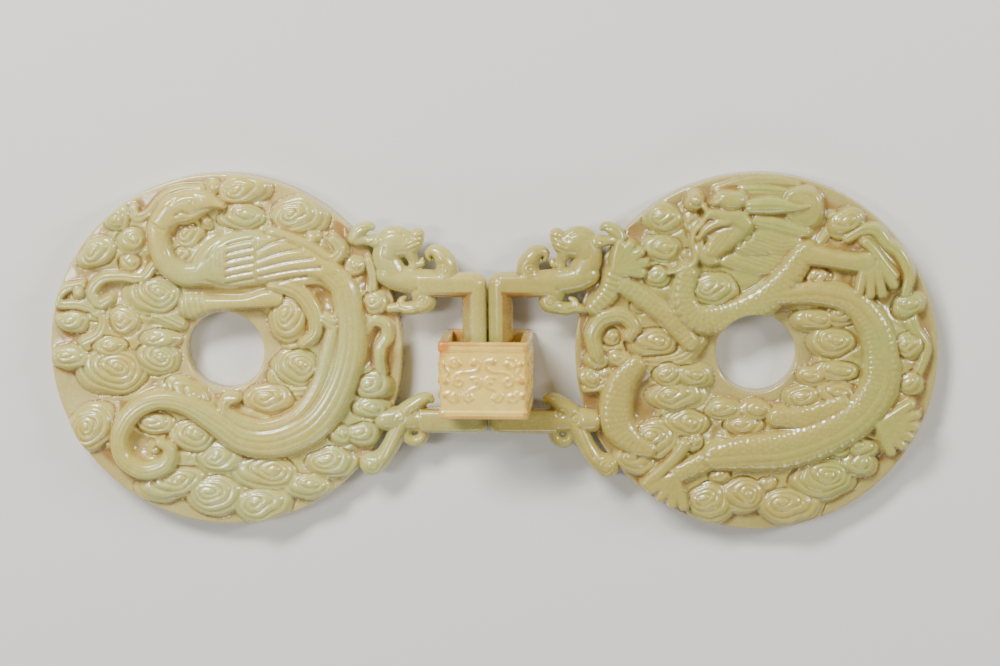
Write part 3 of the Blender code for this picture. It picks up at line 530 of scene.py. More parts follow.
def dragon_curls(c):
    """Thin curls between the clouds and at the rim."""
    c.stroke(THIN_HIGH + 0.5, (24.6, 32.4, 1.6), (28.5, 34.6, 1.9), (32.5, 34.4, 2), (35.4, 31, 2),
             (39, 28, 1.9), (41.6, 22.4, 1.8), (40.6, 17, 1.6), mark=one_line)
    c.stroke(THIN_HIGH, (17.6, 31.6, 1.4), (20, 35, 1.6), (20.8, 38.6, 1.4),
             mark=plume_mark(-0.4, 0.4, depth=0.3))
    c.stroke(THIN_HIGH, (41.5, 13.5, 2), (43.5, 7, 2), (46.5, 2, 1.6), (45, -4, 1.5), (42, -8.5, 2.4),
             mark=one_line)
    c.stroke(THIN_HIGH, (-34, -1.4, 2.2), (-26, -2.2, 2.6), (-19.5, -0.6, 2.6), (-15.6, 3.6, 2.2),
             mark=plume_mark(-0.6, -0.1, 0.4))
    c.stroke(THIN_HIGH, (-47, -10, 1.4), (-43, -9, 1.6), (-38, -5, 1.6), mark=one_line)


# %% Dragon mane and limbs
def dragon_mane(c):
    """Hair over the brow and behind the jaw, a leaf-shaped lobe, and the ear that lies over it."""
    low = THIN_HIGH / 2
    c.stroke(low, (-11, 45.6, 1.2), (-4, 47.2, 1.6), (4, 47.6, 1.6), (11, 47, 1), mark=two_lines)
    c.stroke(low + 0.8, (-4, 45.4, 1.4), (2, 45.4, 1.7), (8, 45, 1.2), mark=one_line)
    c.dome(-2.4, 22.6, 6, 5, THIN_HIGH)
    c.stroke(HAIR_HIGH, (-9, 26.4, 2), (-4, 25.8, 3.2), (1, 25.2, 3.8), (5, 26, 3.8), (10, 29.6, 2.8))
    c.stroke(HAIR_HIGH + 0.4, (-3, 31, 4.4), (2, 31.4, 4.6), (7, 31, 3.6), (11, 31.4, 1.8))
    for k in range(9):
        drop = 1.15 * k
        c.line(0.22, (-2.2 - 0.6 * k, 34.6 - 0.9 * k), (1.5, 33.8 - drop), (6.5, 32.2 - drop),
               (11 - 0.7 * k, 32.6 - drop))
    c.stroke(HAIR_HIGH + 0.5, (0, 37, 2.2), (5, 36, 2.6), (10, 34.6, 2.4), (13.6, 34, 1.6),
             mark=plume_mark(-0.5, 0, 0.5, depth=0.2))
    c.dome(12.4, 40.8, 6.1, 6.3, LIMB_HIGH, 0, rim_mark)
    c.stroke(LIMB_HIGH + 0.4, (-1.6, 41.2, 2.4), (3.4, 41.4, 2.8), (7.4, 41.2, 2.2), (11.2, 40.9, 1.3),
             (14, 41.4, 0.6), mark=plume_mark(-0.5, 0, 0.5, depth=0.2))


def dragon_limbs(c):
    """Limbs with their toes, and the tail at the left."""
    c.stroke(LIMB_HIGH, (-36.5, 19.5, 3), (-30, 15, 3.2), (-23.5, 10, 3.4), (-18, 3.5, 3), mark=scale_mark)
    c.stroke(LIMB_HIGH, (-44.4, 13, 2.6), (-40.6, 17, 3), (-38.6, 22, 3.4), mark=ridge_mark)
    c.fan(LIMB_HIGH, (-38.6, 24), TOE_WIDTH, (-37.4, 30.8), (-34.5, 30.5), (-31.9, 28.6), (-30.6, 25.6),
          (-31.4, 22.8))
    c.stroke(LIMB_HIGH, (-44, 0, 2.4), (-44.8, 5.5, 2.6), (-42, 9.8, 2.6), (-37, 10.8, 2.5),
             (-33.6, 7.8, 2.3), (-35, 5, 1.9), mark=plume_mark(-0.55, -0.1, 0.4, depth=0.28))
    c.stroke(LIMB_HIGH, (-33, -3, 3), (-37, -8, 4.2), (-38.5, -14.5, 4.8), (-38, -20.5, 4.8),
             (-34, -25, 3.8), (-29.5, -27, 2.8), mark=scale_mark)
    c.stroke(LIMB_HIGH, (-19.5, -25.5, 2.2), (-22, -29, 2), (-26, -33, 2), (-30, -36.5, 2))
    c.stroke(LIMB_HIGH, (24, -13.6, 3), (14, -17.4, 3.6), (6, -17.6, 3.2), mark=scale_mark)
    c.stroke(LIMB_HIGH, (-9.5, -28, 4.6), (-15, -30.8, 3.4), (-21.4, -33.8, 3), mark=scale_mark)
    c.fan(LIMB_HIGH, (-22.4, -34.6), TOE_WIDTH, (-28.8, -38.2), (-26, -40.6), (-22.8, -42.3),
          (-19.6, -42.9))
    c.fan(LIMB_HIGH, (34.4, -19.6), TOE_WIDTH, (42.6, -13.6), (44, -16.6), (43.9, -19.8), (42.6, -22.8),
          (40.4, -25.2), (37.4, -27))


# %% Dragon body and head
def dragon_body(c):
    """Body down the right side and along the bottom, neck, and the raised foreleg with its toes."""
    c.stroke(BODY_HIGH, (7, 16.8, 3.2), (17, 17.3, 3.8), (26, 15, 4.3), (32, 8.5, 4.9), (34.4, 0, 5.3),
             (34, -8.5, 5.8), (28.6, -17, 6), (19, -23, 6.2), (8, -26.8, 6.2), (-3, -27.8, 5.6),
             (-11, -28.8, 4.4), mark=spine_mark)
    c.stroke(BODY_HIGH, (-19, 23, 3.6), (-19.6, 15, 4.2), (-16, 10.2, 4.5), (-8, 10.4, 5),
             (1.5, 14.8, 4.9), (8, 21, 4.3), (12, 26.8, 3.8), (13.4, 28.6, 3.4), mark=belly_mark)
    c.stroke(BODY_HIGH, (13.4, 28, 3.4), (17.4, 27.3, 3), (21.4, 26.5, 2.8), (27.3, 25.8, 3), (30, 26, 3.4))
    for start, tip in (((29, 23), (28, 18)), ((31, 23.6), (31.1, 17.2)), ((32.6, 24.4), (34.3, 17.4)),
                       ((33.4, 26), (37.2, 19.8))):
        c.stroke(BODY_HIGH, (*start, 1.7), (*tip, 1.7))
    c.stroke(BODY_HIGH, (29.4, 31.6, 1.5), (31.6, 29.6, 1.6), (34.6, 25.6, 1.6), (37.6, 22.2, 1.3),
             mark=one_line)
    c.dome(-11.5, 18, 7.6, 5.8, BODY_HIGH, 0, cloud_mark(1))


def dragon_head(c):
    """Smooth cheek with a jagged edge, a round upper lip, a curled nose, a heavy brow and one whisker."""
    c.dome(-11.6, 34.8, 5, 4.6, LIMB_HIGH - 0.2)
    c.stroke(LIMB_HIGH, (-15.6, 31.6, 1.4), (-15.2, 28.6, 1.7), (-13.4, 26.6, 2), (-11.4, 26.4, 1.6))
    c.stroke(BODY_HIGH - 0.4, (-3.6, 36, 3.4), (-6.6, 34, 4), (-9.8, 31.6, 4), (-12, 29.2, 2.8),
             mark=plume_mark(0.86, depth=0.15))
    c.stroke(BODY_HIGH, (-12.6, 39.2, 1.8), (-8.6, 39, 2.3), (-5, 38, 2.9), (-3, 36.4, 2.6))
    c.stroke(BODY_HIGH + 0.2, (-15.8, 32.6, 0.9), (-13.7, 35, 1.4), (-10.8, 36.6, 1.5), (-7.6, 37, 1.2))
    c.line(0.4, (-15.6, 31.4), (-13, 34), (-10.2, 35.3), (-7.2, 35.6), half_width=0.4)
    for k in range(4):
        c.line(0.2, (-6.4 - 1.1 * k, 34.8), (-9 - 1.15 * k, 31.4 + 0.3 * k),
               (-11.4 - 1.0 * k, 28.2 + 1.0 * k), half_width=0.3)
    jag = [(-1.2 - 1.2 * k + 0.5 * (k % 2), 33.4 - 0.85 * k - 0.5 * (k % 2)) for k in range(9)]
    c.line(0.55, *jag, half_width=0.34)
    c.line(0.5, (-12.4, 40.9), (-9.6, 40.4), (-6, 40.1), (-2.2, 41.2), half_width=0.34)
    c.stroke(BODY_HIGH - 0.2, (-14.4, 41.4, 1), (-13.4, 39.4, 1), (-14.9, 36.7, 1), (-17, 34.2, 1),
             (-17.4, 31, 1), (-16.6, 28.2, 1), (-17, 25.7, 1.1), (-19.8, 23.9, 1), (-24, 23, 0.8))
    c.dome(-16.6, 42.8, 3.4, 3.2, BODY_HIGH, 10, cloud_mark(-1))
    c.dome(-7.2, 43, 4.9, 3.3, BODY_HIGH + 0.3, 0)
    c.line(0.4, (-12, 43.8), (-9.8, 45.8), (-6, 46.6), (-2.4, 45.2), half_width=0.32)
    c.dome(-10.9, 42.4, 1.5, 1.3, BODY_HIGH + 0.4, 0, eye_mark)


def carve_dragon(c):
    """The whole face of the dragon disc. The gaps are filled last, once every form stands."""
    dragon_clouds(c)
    dragon_curls(c)
    dragon_mane(c)
    dragon_limbs(c)
    dragon_body(c)
    dragon_head(c)
    c.fill_gaps()


# %% [markdown]
# ## A disc
# A bi disc is round, so its blank is a cross-section spun round the middle. Once the blank is made finer,
# its top has a point every quarter millimetre, close enough to hold the carver's lines. The heights then
# lift those points. The back is not seen in the photograph: it gets a shallow field of grain bosses between
# two plain borders, as the plainer side of such a disc often has. Nothing there stands above the borders.

# %% Disc blank and carving
FACE_ROWS = 39
SPIN_STEPS = 256
GRAIN_PITCH = 4.4
GRAIN_RADIUS = 1.5
GRAIN_DEPTH = 0.4
INNER_BORDER = 3
OUTER_BORDER = 4
BORDER_SLOPE = 0.8


def new_object(name, bm):
    """Object made from a bmesh, at the origin."""
    mesh = bpy.data.meshes.new(name)
    bm.to_mesh(mesh)
    bm.free()
    obj = bpy.data.objects.new(name, mesh)
    bpy.context.scene.collection.objects.link(obj)
    return obj


def disc_section():
    """Closed cross-section of the plain disc as radius and height, with a place for each millimetre."""
    inner, outer = HOLE_RADIUS + EDGE_ROUND, DISC_RADIUS - EDGE_ROUND
    low_edge = GROUND_Z - EDGE_ROUND
    curve = [(math.cos(a), math.sin(a)) for a in np.linspace(math.pi / 2, 0, 5)]
    section = [(r, GROUND_Z) for r in np.linspace(inner, outer, FACE_ROWS)[:-1]]
    section += [(outer + EDGE_ROUND * c, low_edge + EDGE_ROUND * s) for c, s in curve]
    section += [(DISC_RADIUS, z) for z in (3.0, 0.4)]
    section += [(r, 0.0) for r in np.linspace(DISC_RADIUS - 0.4, HOLE_RADIUS + 0.4, FACE_ROWS)]
    section += [(HOLE_RADIUS, z) for z in (0.4, 3.0)]
    section += [(inner - EDGE_ROUND * c, low_edge + EDGE_ROUND * s) for c, s in curve[:0:-1]]
    return section


def grain_back(x, y):
    """Depth of the sunk field on the back, with low grain bosses in rows of three directions."""
    r = np.hypot(x, y)
    pitch = GRAIN_PITCH
    row = np.round(y / (pitch * 0.866))
    u = (x - 0.5 * pitch * (row % 2)) / pitch
    away = np.hypot((u - np.round(u)) * pitch, y - row * pitch * 0.866)
    boss = np.clip(1 - (away / GRAIN_RADIUS) ** 2, 0, 1)
    inside = np.clip((r - HOLE_RADIUS - INNER_BORDER) / BORDER_SLOPE, 0, 1)
    inside = inside * np.clip((DISC_RADIUS - OUTER_BORDER - r) / BORDER_SLOPE, 0, 1)
    return GRAIN_DEPTH * inside * (1 - boss)


def vertex_rows(mesh, what):
    """Places (co) or directions (normal) of all the mesh's vertices, one row for each."""
    values = np.empty(len(mesh.vertices) * 3)
    mesh.vertices.foreach_get(what, values)
    return values.reshape(-1, 3)


def move_vertices(mesh, rows):
    """Puts the vertices at new places."""
    mesh.vertices.foreach_set("co", rows.ravel())
    mesh.update()


def carved_disc(name, carve, side):
    """Carved disc as one closed mesh in millimetres, in its own place."""
    carving = Carving(DISC_RADIUS + 1, DISC_RADIUS + 1)
    carve(carving)
    carving.soften(3, cut_times=1)
    bm = bmesh.new()
    ring = [bm.verts.new((r, 0, z)) for r, z in disc_section()]
    edges = [bm.edges.new((a, b)) for a, b in zip(ring, ring[1:] + ring[:1])]
    bmesh.ops.spin(bm, geom=ring + edges, cent=(0, 0, 0), axis=(0, 0, 1), angle=2 * math.pi,
                   steps=SPIN_STEPS, use_merge=True)
    bmesh.ops.recalc_face_normals(bm, faces=bm.faces)
    disc = new_object(name, bm)
    finer = disc.modifiers.new("finer", "SUBSURF")
    finer.subdivision_type = "SIMPLE"
    finer.levels = 2
    settle(disc)
    place = vertex_rows(disc.data, "co")
    x, y, z = place.T.copy()
    lifted = np.clip((z - GROUND_Z + EDGE_ROUND) / EDGE_ROUND, 0, 1)
    back = z < 0.01
    place[:, 2] = z + lifted * carving.at(x, y) + back * grain_back(x, y)
    place[:, 0] += side * CENTRE_X
    move_vertices(disc.data, place)
    return disc


# %% [markdown]
# ## Finishing a mesh
# A fine mesh can be thinned where it is smooth and kept where it turns. Solid pieces that meet are joined
# with an exact Boolean, because each disc and its brackets are one stone and have no seam.

# %% Mesh helpers
def settle(obj):
    """Puts the result of the object's modifiers in the place of its mesh."""
    depsgraph = bpy.context.evaluated_depsgraph_get()
    mesh = bpy.data.meshes.new_from_object(obj.evaluated_get(depsgraph))
    obj.modifiers.clear()
    obj.data = mesh


def triangle_count(obj):
    """Triangles that the object's faces come to."""
    return sum(len(p.vertices) - 2 for p in obj.data.polygons)


def thin_out(obj, triangles):
    """Thins a mesh to about this many triangles, where it is smooth."""
    fewer = obj.modifiers.new("thin", "DECIMATE")
    fewer.ratio = min(1.0, triangles / triangle_count(obj))
    settle(obj)


def join_solid(obj, other):
    """Joins another closed mesh to this one and removes the other object."""
    join = obj.modifiers.new("join", "BOOLEAN")
    join.operation = "UNION"
    join.solver = "EXACT"
    join.object = other
    settle(obj)
    bpy.data.objects.remove(other)


# %% [markdown]
# ## Brackets, arms and posts
# Small hornless dragons grip the rim of each disc and hold out the two arms. They are carved in the round,
# so they are built as rows of overlapping flattened beads, fused to one skin with a voxel remesh, and
# smoothed. One small sphere is made once and copied to the place and size of every bead.

# %% Beads
ARM_ROUND = 2.1
ARM_REACH = 19
POST_TOP_ROUND = 3.3
RING_X = 20.8
RING_Y = -23.0
RING_RADIUS = 2.4
RING_HALF_WIDTH = 1.7
BEAD_SPACING = 0.35
BEAD_DEEPEST = 3.4
SKIN_VOXEL = 0.22


def bead_row(*points):
    """Places of overlapping beads along points given as distance from the middle, y and half width."""
    return smooth_path(points, BEAD_SPACING)


def bead_skin(name, rows):
    """All beads, both arms and the post fused to one closed skin, in millimetres, on the +X side."""
    bm = bmesh.new()
    bmesh.ops.create_uvsphere(bm, u_segments=20, v_segments=12, radius=1)
    ball = np.array([v.co for v in bm.verts])
    ball_faces = np.array([[v.index for v in f.verts] + [-1] * (4 - len(f.verts)) for f in bm.faces])
    bm.free()
    places, faces = [], []
    for k, (u, y, w) in enumerate(bead for row in rows for bead in row):
        depth = min(BEAD_DEEPEST, w * 1.15 + 0.4)
        places.append(ball * (w, w, depth) + (u, y, POST_Z))
        faces += [[k * len(ball) + i for i in face if i >= 0] for face in ball_faces.tolist()]
    mesh = bpy.data.meshes.new(name)
    mesh.from_pydata(np.concatenate(places).tolist(), [], faces)
    bm = bmesh.new()
    bm.from_mesh(mesh)
    bpy.data.meshes.remove(mesh)
    add_post_and_arms(bm)
    skin = new_object(name, bm)
    remesh = skin.modifiers.new("skin", "REMESH")
    remesh.mode = "VOXEL"
    remesh.voxel_size = SKIN_VOXEL
    smooth = skin.modifiers.new("smooth", "SMOOTH")
    smooth.factor = 0.5
    smooth.iterations = 4
    settle(skin)
    return skin


def add_post_and_arms(bm):
    """Round post with soft ends and two straight arms with rounded edges."""
    def round_off(edges, offset, segments):
        bmesh.ops.bevel(bm, geom=edges, offset=offset, segments=segments, profile=0.5, affect="EDGES",
                        material=-1)

    top, bottom = UPPER_ARM_Y + POST_RADIUS, LOWER_ARM_Y - POST_RADIUS
    place = Matrix.Translation((POST_X, (top + bottom) / 2, POST_Z)) @ Matrix.Rotation(math.pi / 2, 4, "X")
    post = bmesh.ops.create_cone(bm, cap_ends=True, segments=64, radius1=POST_RADIUS, radius2=POST_RADIUS,
                                 depth=top - bottom, matrix=place)
    ends = {e for v in post["verts"] for e in v.link_edges if any(len(f.verts) > 4 for f in e.link_faces)}
    upper = [e for e in ends if e.verts[0].co.y > 0]
    lower = [e for e in ends if e.verts[0].co.y < 0]
    round_off(upper, POST_TOP_ROUND, 8)
    round_off(lower, ARM_ROUND, 6)
    size = 2 * POST_RADIUS
    for y in (UPPER_ARM_Y, LOWER_ARM_Y):
        place = Matrix.Translation(((POST_X + ARM_REACH) / 2, y, POST_Z))
        place = place @ Matrix.Diagonal((ARM_REACH - POST_X, size, size, 1))
        arm = bmesh.ops.create_cube(bm, size=1, matrix=place)
        edges = {e for v in arm["verts"] for e in v.link_edges}
        round_off([e for e in edges if abs(e.verts[0].co.x - e.verts[1].co.x) > 1], ARM_ROUND, 6)


def bracket_rows():
    """The upper and lower small dragons, as rows of beads."""
    angles = [math.radians(100 + 30 * k) for k in range(12)]
    ring = [(RING_X + RING_RADIUS * math.cos(a), RING_Y + RING_RADIUS * math.sin(a), RING_HALF_WIDTH)
            for a in angles]
    return (
        bead_row((28, 22, 3.4), (25, 20.9, 3.8), (20, 20, 3.8), (14, 19.6, 3.5)),
        bead_row((26.6, 23, 4), (28, 26.1, 4), (27.6, 28.8, 4.2), (25.8, 30.8, 4.8), (23.2, 30.4, 3.9),
                 (21.4, 30.2, 3), (20, 31.2, 2.3), (19.4, 33, 2.1)),
        bead_row((21.4, 28, 2), (20.7, 26, 1.5), (20.5, 23.8, 1.5)),
        bead_row((20, 24.6, 1.1), (18.4, 25, 1.1), (18.1, 26.1, 0.65)),
        bead_row((37, 32, 1.9), (36, 33.7, 2), (34.3, 35, 1.7), (32.7, 35.5, 1.3), (31.9, 35, 0.9)),
        bead_row((36.4, 31.6, 1.8), (33.4, 31.5, 1.5), (30.4, 31.2, 2.2)),
        bead_row((11.6, 21, 3.4), (11.3, 24.4, 3.1), (12.7, 27.3, 2.4), (14.7, 28.6, 1.7), (16.2, 28, 1.2),
                 (16.4, 26.9, 0.85), (15.8, 26, 0.6)),
        bead_row((18.4, 17, 3.2), (17.6, 14.4, 3.3), (19.6, 12.9, 2.3), (22, 12.4, 1.95), (24, 13, 1.6),
                 (24.1, 14.6, 1.05), (23, 15.4, 0.65)),
        bead_row((24.6, 12.6, 1.4), (27.4, 12.4, 1.4)),
        bead_row((29, -19.2, 3.4), (25, -19, 3.7), (21, -19, 3.8), (16, -19.35, 3.4)),
        bead_row((23, -16.8, 2.8), (20.6, -15, 2.5), (18.4, -13.4, 2), (16.9, -13, 1.4), (16, -13.8, 0.9)),
        bead_row(*ring),
        bead_row((24.4, -20.6, 2.8), (26, -23.4, 2.7), (27.7, -26.6, 2.6), (29.9, -29.8, 2.7),
                 (32.4, -31.8, 3.3), (33.2, -32, 3.6)))


# %% [markdown]
# ## Lines on the small dragons
# The larger curls and joints of the brackets have a cut spiral, and mane, beard and limbs a few lines. They
# are kept in a field like the disc's, and sunk into the upper and the lower face of the skin.

# %% Lines on the small dragons
def bracket_lines():
    """Cut lines of the small dragons beside the middle, the same on the upper and the lower face."""
    c = Carving(46, 40)

    def whorl(x, y, size, turns=1.7):
        c.line(0.3, *[(x + size * (1 - 0.85 * t) * math.cos(turns * 2 * math.pi * t),
                       y + size * (1 - 0.85 * t) * math.sin(turns * 2 * math.pi * t))
                      for t in np.linspace(0.0, 1.0, 22)])

    whorl(12, 23.6, 1.9)
    whorl(17.7, 14.9, 2)
    whorl(20.6, -16.8, 1.7, turns=1.3)
    whorl(24.6, -18.6, 1.8, turns=1.3)
    whorl(33.0, -31.9, 2.8)
    c.line(0.45, (32, 31), (29, 33.1), (25.8, 34), (23.2, 33.2), half_width=0.3)
    c.line(0.35, (31, 32.3), (27.6, 34.5), (24.8, 34.8), half_width=0.26)
    for k in range(3):
        c.line(0.4, (22.2 - 0.2 * k, 28.7 + 1.4 * k), (20.4, 29.5 + 1.4 * k),
               (18.4 - 0.3 * k, 30.2 + 1.3 * k), half_width=0.27)
    c.dip(22.6, 32, 0.7, 0.4)
    c.line(0.25, (28.4, 29.6), (28.6, 27.2), (26.6, 26.2), half_width=0.35)
    c.line(0.35, (25.6, -20.6), (27.2, -24.6), (29.4, -29.2), half_width=0.3)
    c.line(0.35, (37, 33.4), (35, 35), (33, 35.2), half_width=0.3)
    c.line(0.35, (22.4, 12.4), (24.4, 12.9), (24.8, 14.2))
    c.soften(1)
    return c


def cut_lines(skin, lines):
    """Sinks the cut lines into the upper and lower faces of a skin on the +X side."""
    place, facing = vertex_rows(skin.data, "co"), vertex_rows(skin.data, "normal")
    depth = -lines.at(place[:, 0], place[:, 1])
    place[:, 2] -= depth * np.clip(facing[:, 2] * 2, -1, 1)
    move_vertices(skin.data, place)


# %% [markdown]
# ## Sleeve
# The sleeve is a square tube like a small cong. A rounded square is drawn up row by row, and the wall
# between its two bands carries mirrored scrolls and grain bosses in very low relief.

# %% Sleeve
SLEEVE_WIDTH = 24.0
SLEEVE_DEPTH = 23.0
SLEEVE_HEIGHT = 21.2
SLEEVE_WALL = 2.0
BAND_STEP = 0.4
BAND_TOP = 2.6
BAND_BOTTOM = 2.3
SLEEVE_GAP = 0.3
SLEEVE_CORNER = 0.9
SCROLL_HIGH = 0.42
EDGE_LOSS = 0.35
BAND_SLOPE = 0.3
ROUND_STEPS = 340
WALL_ROWS = 78
BORE_ROWS = 12
print("sleeve:", SLEEVE_WIDTH, "mm wide,", SLEEVE_DEPTH, "mm deep and", SLEEVE_HEIGHT, "mm long")


def carve_sleeve_side():
    """Mirrored scrolls and bosses of one side, around its middle."""
    c = Carving(13, 9)
    for s in (-1, 1):
        for points in (((2.4, 5.9), (1.0, 5.4), (1.3, 3.4), (3.4, 2.6), (6.0, 2.4), (7.6, 1.6),
                        (7.9, -0.6), (6.3, -1.2), (5.7, 0.2)),
                       ((7.0, 6.3), (8.6, 6.0), (8.7, 4.4), (7.2, 4.0), (6.1, 5.0)),
                       ((3.2, 0.9), (1.0, 0.9), (0.9, -1.2), (2.6, -1.9), (3.8, -2.6), (5.2, -4.0),
                        (4.2, -5.5), (2.8, -4.6)),
                       ((9.2, -3.0), (9.0, -5.2), (7.2, -5.4), (6.9, -3.9)),
                       ((10.2, 3.8), (9.6, 2.2), (10.6, 1.0))):
            c.stroke(SCROLL_HIGH, *[(s * x, y, 0.5) for x, y in points])
        for x, y in ((2.6, 5.4), (7.2, 5.2), (2.0, 0.0), (6.8, 0.2), (3.8, -4.1), (8.0, -4.2),
                     (10.4, 4.8), (10.4, 0.0), (10.4, -4.2)):
            c.dome(s * x, y, 0.95, 0.95, SCROLL_HIGH * 1.3)
    c.soften(1)
    return c


def rounded_square(share, half_x, half_z, corner):
    """Place on a rounded square, the way out, and the distance from the middle of a flat side or None."""
    straight_x, straight_z = half_x - corner, half_z - corner
    lengths = [2 * straight_x, math.pi * corner / 2, 2 * straight_z, math.pi * corner / 2] * 2
    run = share * sum(lengths)
    middles = ((1, 1), (-1, 1), (-1, -1), (1, -1))
    for k, length in enumerate(lengths):
        if run <= length or k == 7:
            break
        run -= length
    quarter = k // 2
    angle = math.pi / 2 * (quarter + 1)
    out = Vector((math.cos(angle), math.sin(angle)))
    along = Vector((-out.y, out.x))
    if k % 2 == 0:
        half = straight_x if quarter % 2 == 0 else straight_z
        flat = half_z if quarter % 2 == 0 else half_x
        return out * flat + along * (run - half), out, run - half
    mx, mz = middles[(quarter + 1) % 4]
    bend = angle + run / corner
    out = Vector((math.cos(bend), math.sin(bend)))
    return Vector((mx * straight_x, mz * straight_z)) + out * corner, out, None


def make_sleeve(name):
    """Closed square tube with bands, scrolls and bosses, in millimetres."""
    around = ROUND_STEPS
    half_x, half_z = SLEEVE_WIDTH / 2, SLEEVE_DEPTH / 2
    mid_z = half_z + BAND_STEP
    bottom = LOWER_ARM_Y + POST_RADIUS + SLEEVE_GAP
    top = bottom + SLEEVE_HEIGHT
    low, high = bottom + BAND_BOTTOM, top - BAND_TOP
    mid_y = (low + high) / 2
    side = carve_sleeve_side()
    places = [rounded_square(k / around, half_x, half_z, SLEEVE_CORNER) for k in range(around)]
    offset_x = np.array([0.0 if p[2] is None else p[2] for p in places])
    on_side = np.array([p[2] is not None for p in places])
    rise = np.linspace(bottom, top, WALL_ROWS)
    band = np.clip((low - rise) / BAND_SLOPE, 0, 1) + np.clip((rise - high) / BAND_SLOPE, 0, 1)
    rows = [(y, BAND_STEP * share, True) for y, share in zip(rise, band)]
    rows[0] = (rows[0][0], rows[0][1] - EDGE_LOSS, False)
    rows[-1] = (rows[-1][0], rows[-1][1] - EDGE_LOSS, False)
    inner = [(y, -SLEEVE_WALL, False) for y in np.linspace(top - 0.3, bottom + 0.3, BORE_ROWS)]
    inner = [(top, -SLEEVE_WALL + 0.3, False)] + inner + [(bottom, -SLEEVE_WALL + 0.3, False)]
    bm = bmesh.new()
    ring = bmesh.ops.create_circle(bm, cap_ends=False, segments=around, radius=1)["verts"]
    first_edges = edges = list(bm.edges)
    all_rings = [ring]
    for _ in rows[1:] + inner:
        made = bmesh.ops.extrude_edge_only(bm, edges=edges)["geom"]
        edges = [g for g in made if isinstance(g, bmesh.types.BMEdge)
                 and all(v in made for v in g.verts)]
        before = set(all_rings[-1])
        step = {}
        for vert in (g for g in made if isinstance(g, bmesh.types.BMVert)):
            step[next(e.other_vert(vert) for e in vert.link_edges if e.other_vert(vert) in before)] = vert
        all_rings.append([step[v] for v in all_rings[-1]])
        bmesh.ops.translate(bm, vec=(0, 0, 1), verts=all_rings[-1])
    bmesh.ops.bridge_loops(bm, edges=first_edges + edges)
    for (y, out_step, carved), verts in zip(rows + inner, all_rings):
        relief = side.at(offset_x, np.full(around, y - mid_y)) * on_side if carved else np.zeros(around)
        if low + 0.2 > y or y > high - 0.2:
            relief = relief * 0
        for vert, (spot, out, _), raised in zip(verts, places, relief):
            spot = spot + out * (out_step + raised)
            vert.co = (spot.x, y, mid_z + spot.y)
    bmesh.ops.recalc_face_normals(bm, faces=bm.faces)
    return new_object(name, bm)


# %% [markdown]
# ## Where stain and painted shade settle
# Old jade is darker and warmer in its hollows, where polish never reached, and paler on its ridges. The
# same darker, warmer colour also stands in for the shade that falls in undercuts and cut lines, so it is
# partly stain and partly painted shade. A number at each point tells how hollow the surface is there: how
# far the point lies below the average of its neighbours.

# %% Hollows
HOLLOW_SPREAD = 3
HOLLOW_SPAN = 0.24 * MM


def add_number(mesh, name, values):
    """Keeps one number for each point of a mesh, which a material can read by its name."""
    layer = mesh.attributes.new(name, "FLOAT", "POINT")
    layer.data.foreach_set("value", values.astype(np.float32))


def add_hollows(mesh):
    """Point numbers: hollow is 0.5 on flat stone and nears 1 in hollows, ground is 1 on a disc's ground."""
    count = len(mesh.vertices)
    place, facing = vertex_rows(mesh, "co"), vertex_rows(mesh, "normal")
    ends = np.empty(len(mesh.edges) * 2, dtype=np.int64)
    mesh.edges.foreach_get("vertices", ends)
    a, b = ends[0::2], ends[1::2]
    degree = np.maximum(np.bincount(a, minlength=count) + np.bincount(b, minlength=count), 1)

    def average(values):
        total = np.bincount(a, weights=values[b], minlength=count)
        total += np.bincount(b, weights=values[a], minlength=count)
        return total / degree

    smooth = place.copy()
    for _ in range(HOLLOW_SPREAD):
        smooth = np.stack([average(smooth[:, k]) for k in range(3)], axis=1)
    hollow = ((smooth - place) * facing).sum(axis=1)
    for _ in range(2):
        hollow = average(hollow)
    hollow = np.clip(0.5 + hollow / HOLLOW_SPAN, 0, 1)
    x, y, z = place.T / MM
    on_disc = np.hypot(np.abs(x) - CENTRE_X, y) < DISC_RADIUS + EDGE_ROUND
    # The hollow number sets where the material lays its tan, partly stain and partly painted shade
    add_number(mesh, "hollow", hollow)
    add_number(mesh, "ground", on_disc * np.clip((GROUND_Z + 1.6 - z) / 1.4, 0, 1))
    return hollow


def finish_piece(obj, material, node, body):
    """Metres, smooth shading, hollows and material, and its place in the frame."""
    bm = bmesh.new()
    bm.from_mesh(obj.data)
    bmesh.ops.remove_doubles(bm, verts=bm.verts, dist=0.002)
    bmesh.ops.triangulate(bm, faces=bm.faces)
    bmesh.ops.scale(bm, vec=(MM, MM, MM), verts=bm.verts)
    for face in bm.faces:
        face.smooth = True
    open_edges = sum(not e.is_manifold for e in bm.edges)
    bm.to_mesh(obj.data)
    bm.free()
    hollow = add_hollows(obj.data)
    obj.data.materials.clear()
    obj.data.materials.append(material)
    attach(obj, body)
    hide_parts(node)
    print(obj.name, len(obj.data.polygons), "triangles,", open_edges, "open edges, mean hollow",
          round(float(hollow.mean()), 3))


# %% [markdown]
# ## Nephrite
# Pale nephrite is a felt of fine fibres. Polished, it has a waxy gloss, and light goes a few millimetres
# into it, which softens every edge. The colour drifts between grey-green and honey over a few centimetres,
# and a tan colour lies in the cut lines, partly stain and partly painted shade. The sleeve keeps a patch of
# russet, as the skin of a pebble has.

# %% Jade material
# Sizes of the patterns in millimetres, and the place of the russet in metres
DRIFT_SIZE = 28
PATCH_SIZE = 11
FLECK_SIZE = 2.2
RAGGED_SIZE = 1.6
GRAIN_SIZE = 0.8
RUSSET = "CC8028"
RUSSET_CORNER = (-0.0119, 0.0052, 0.0232)


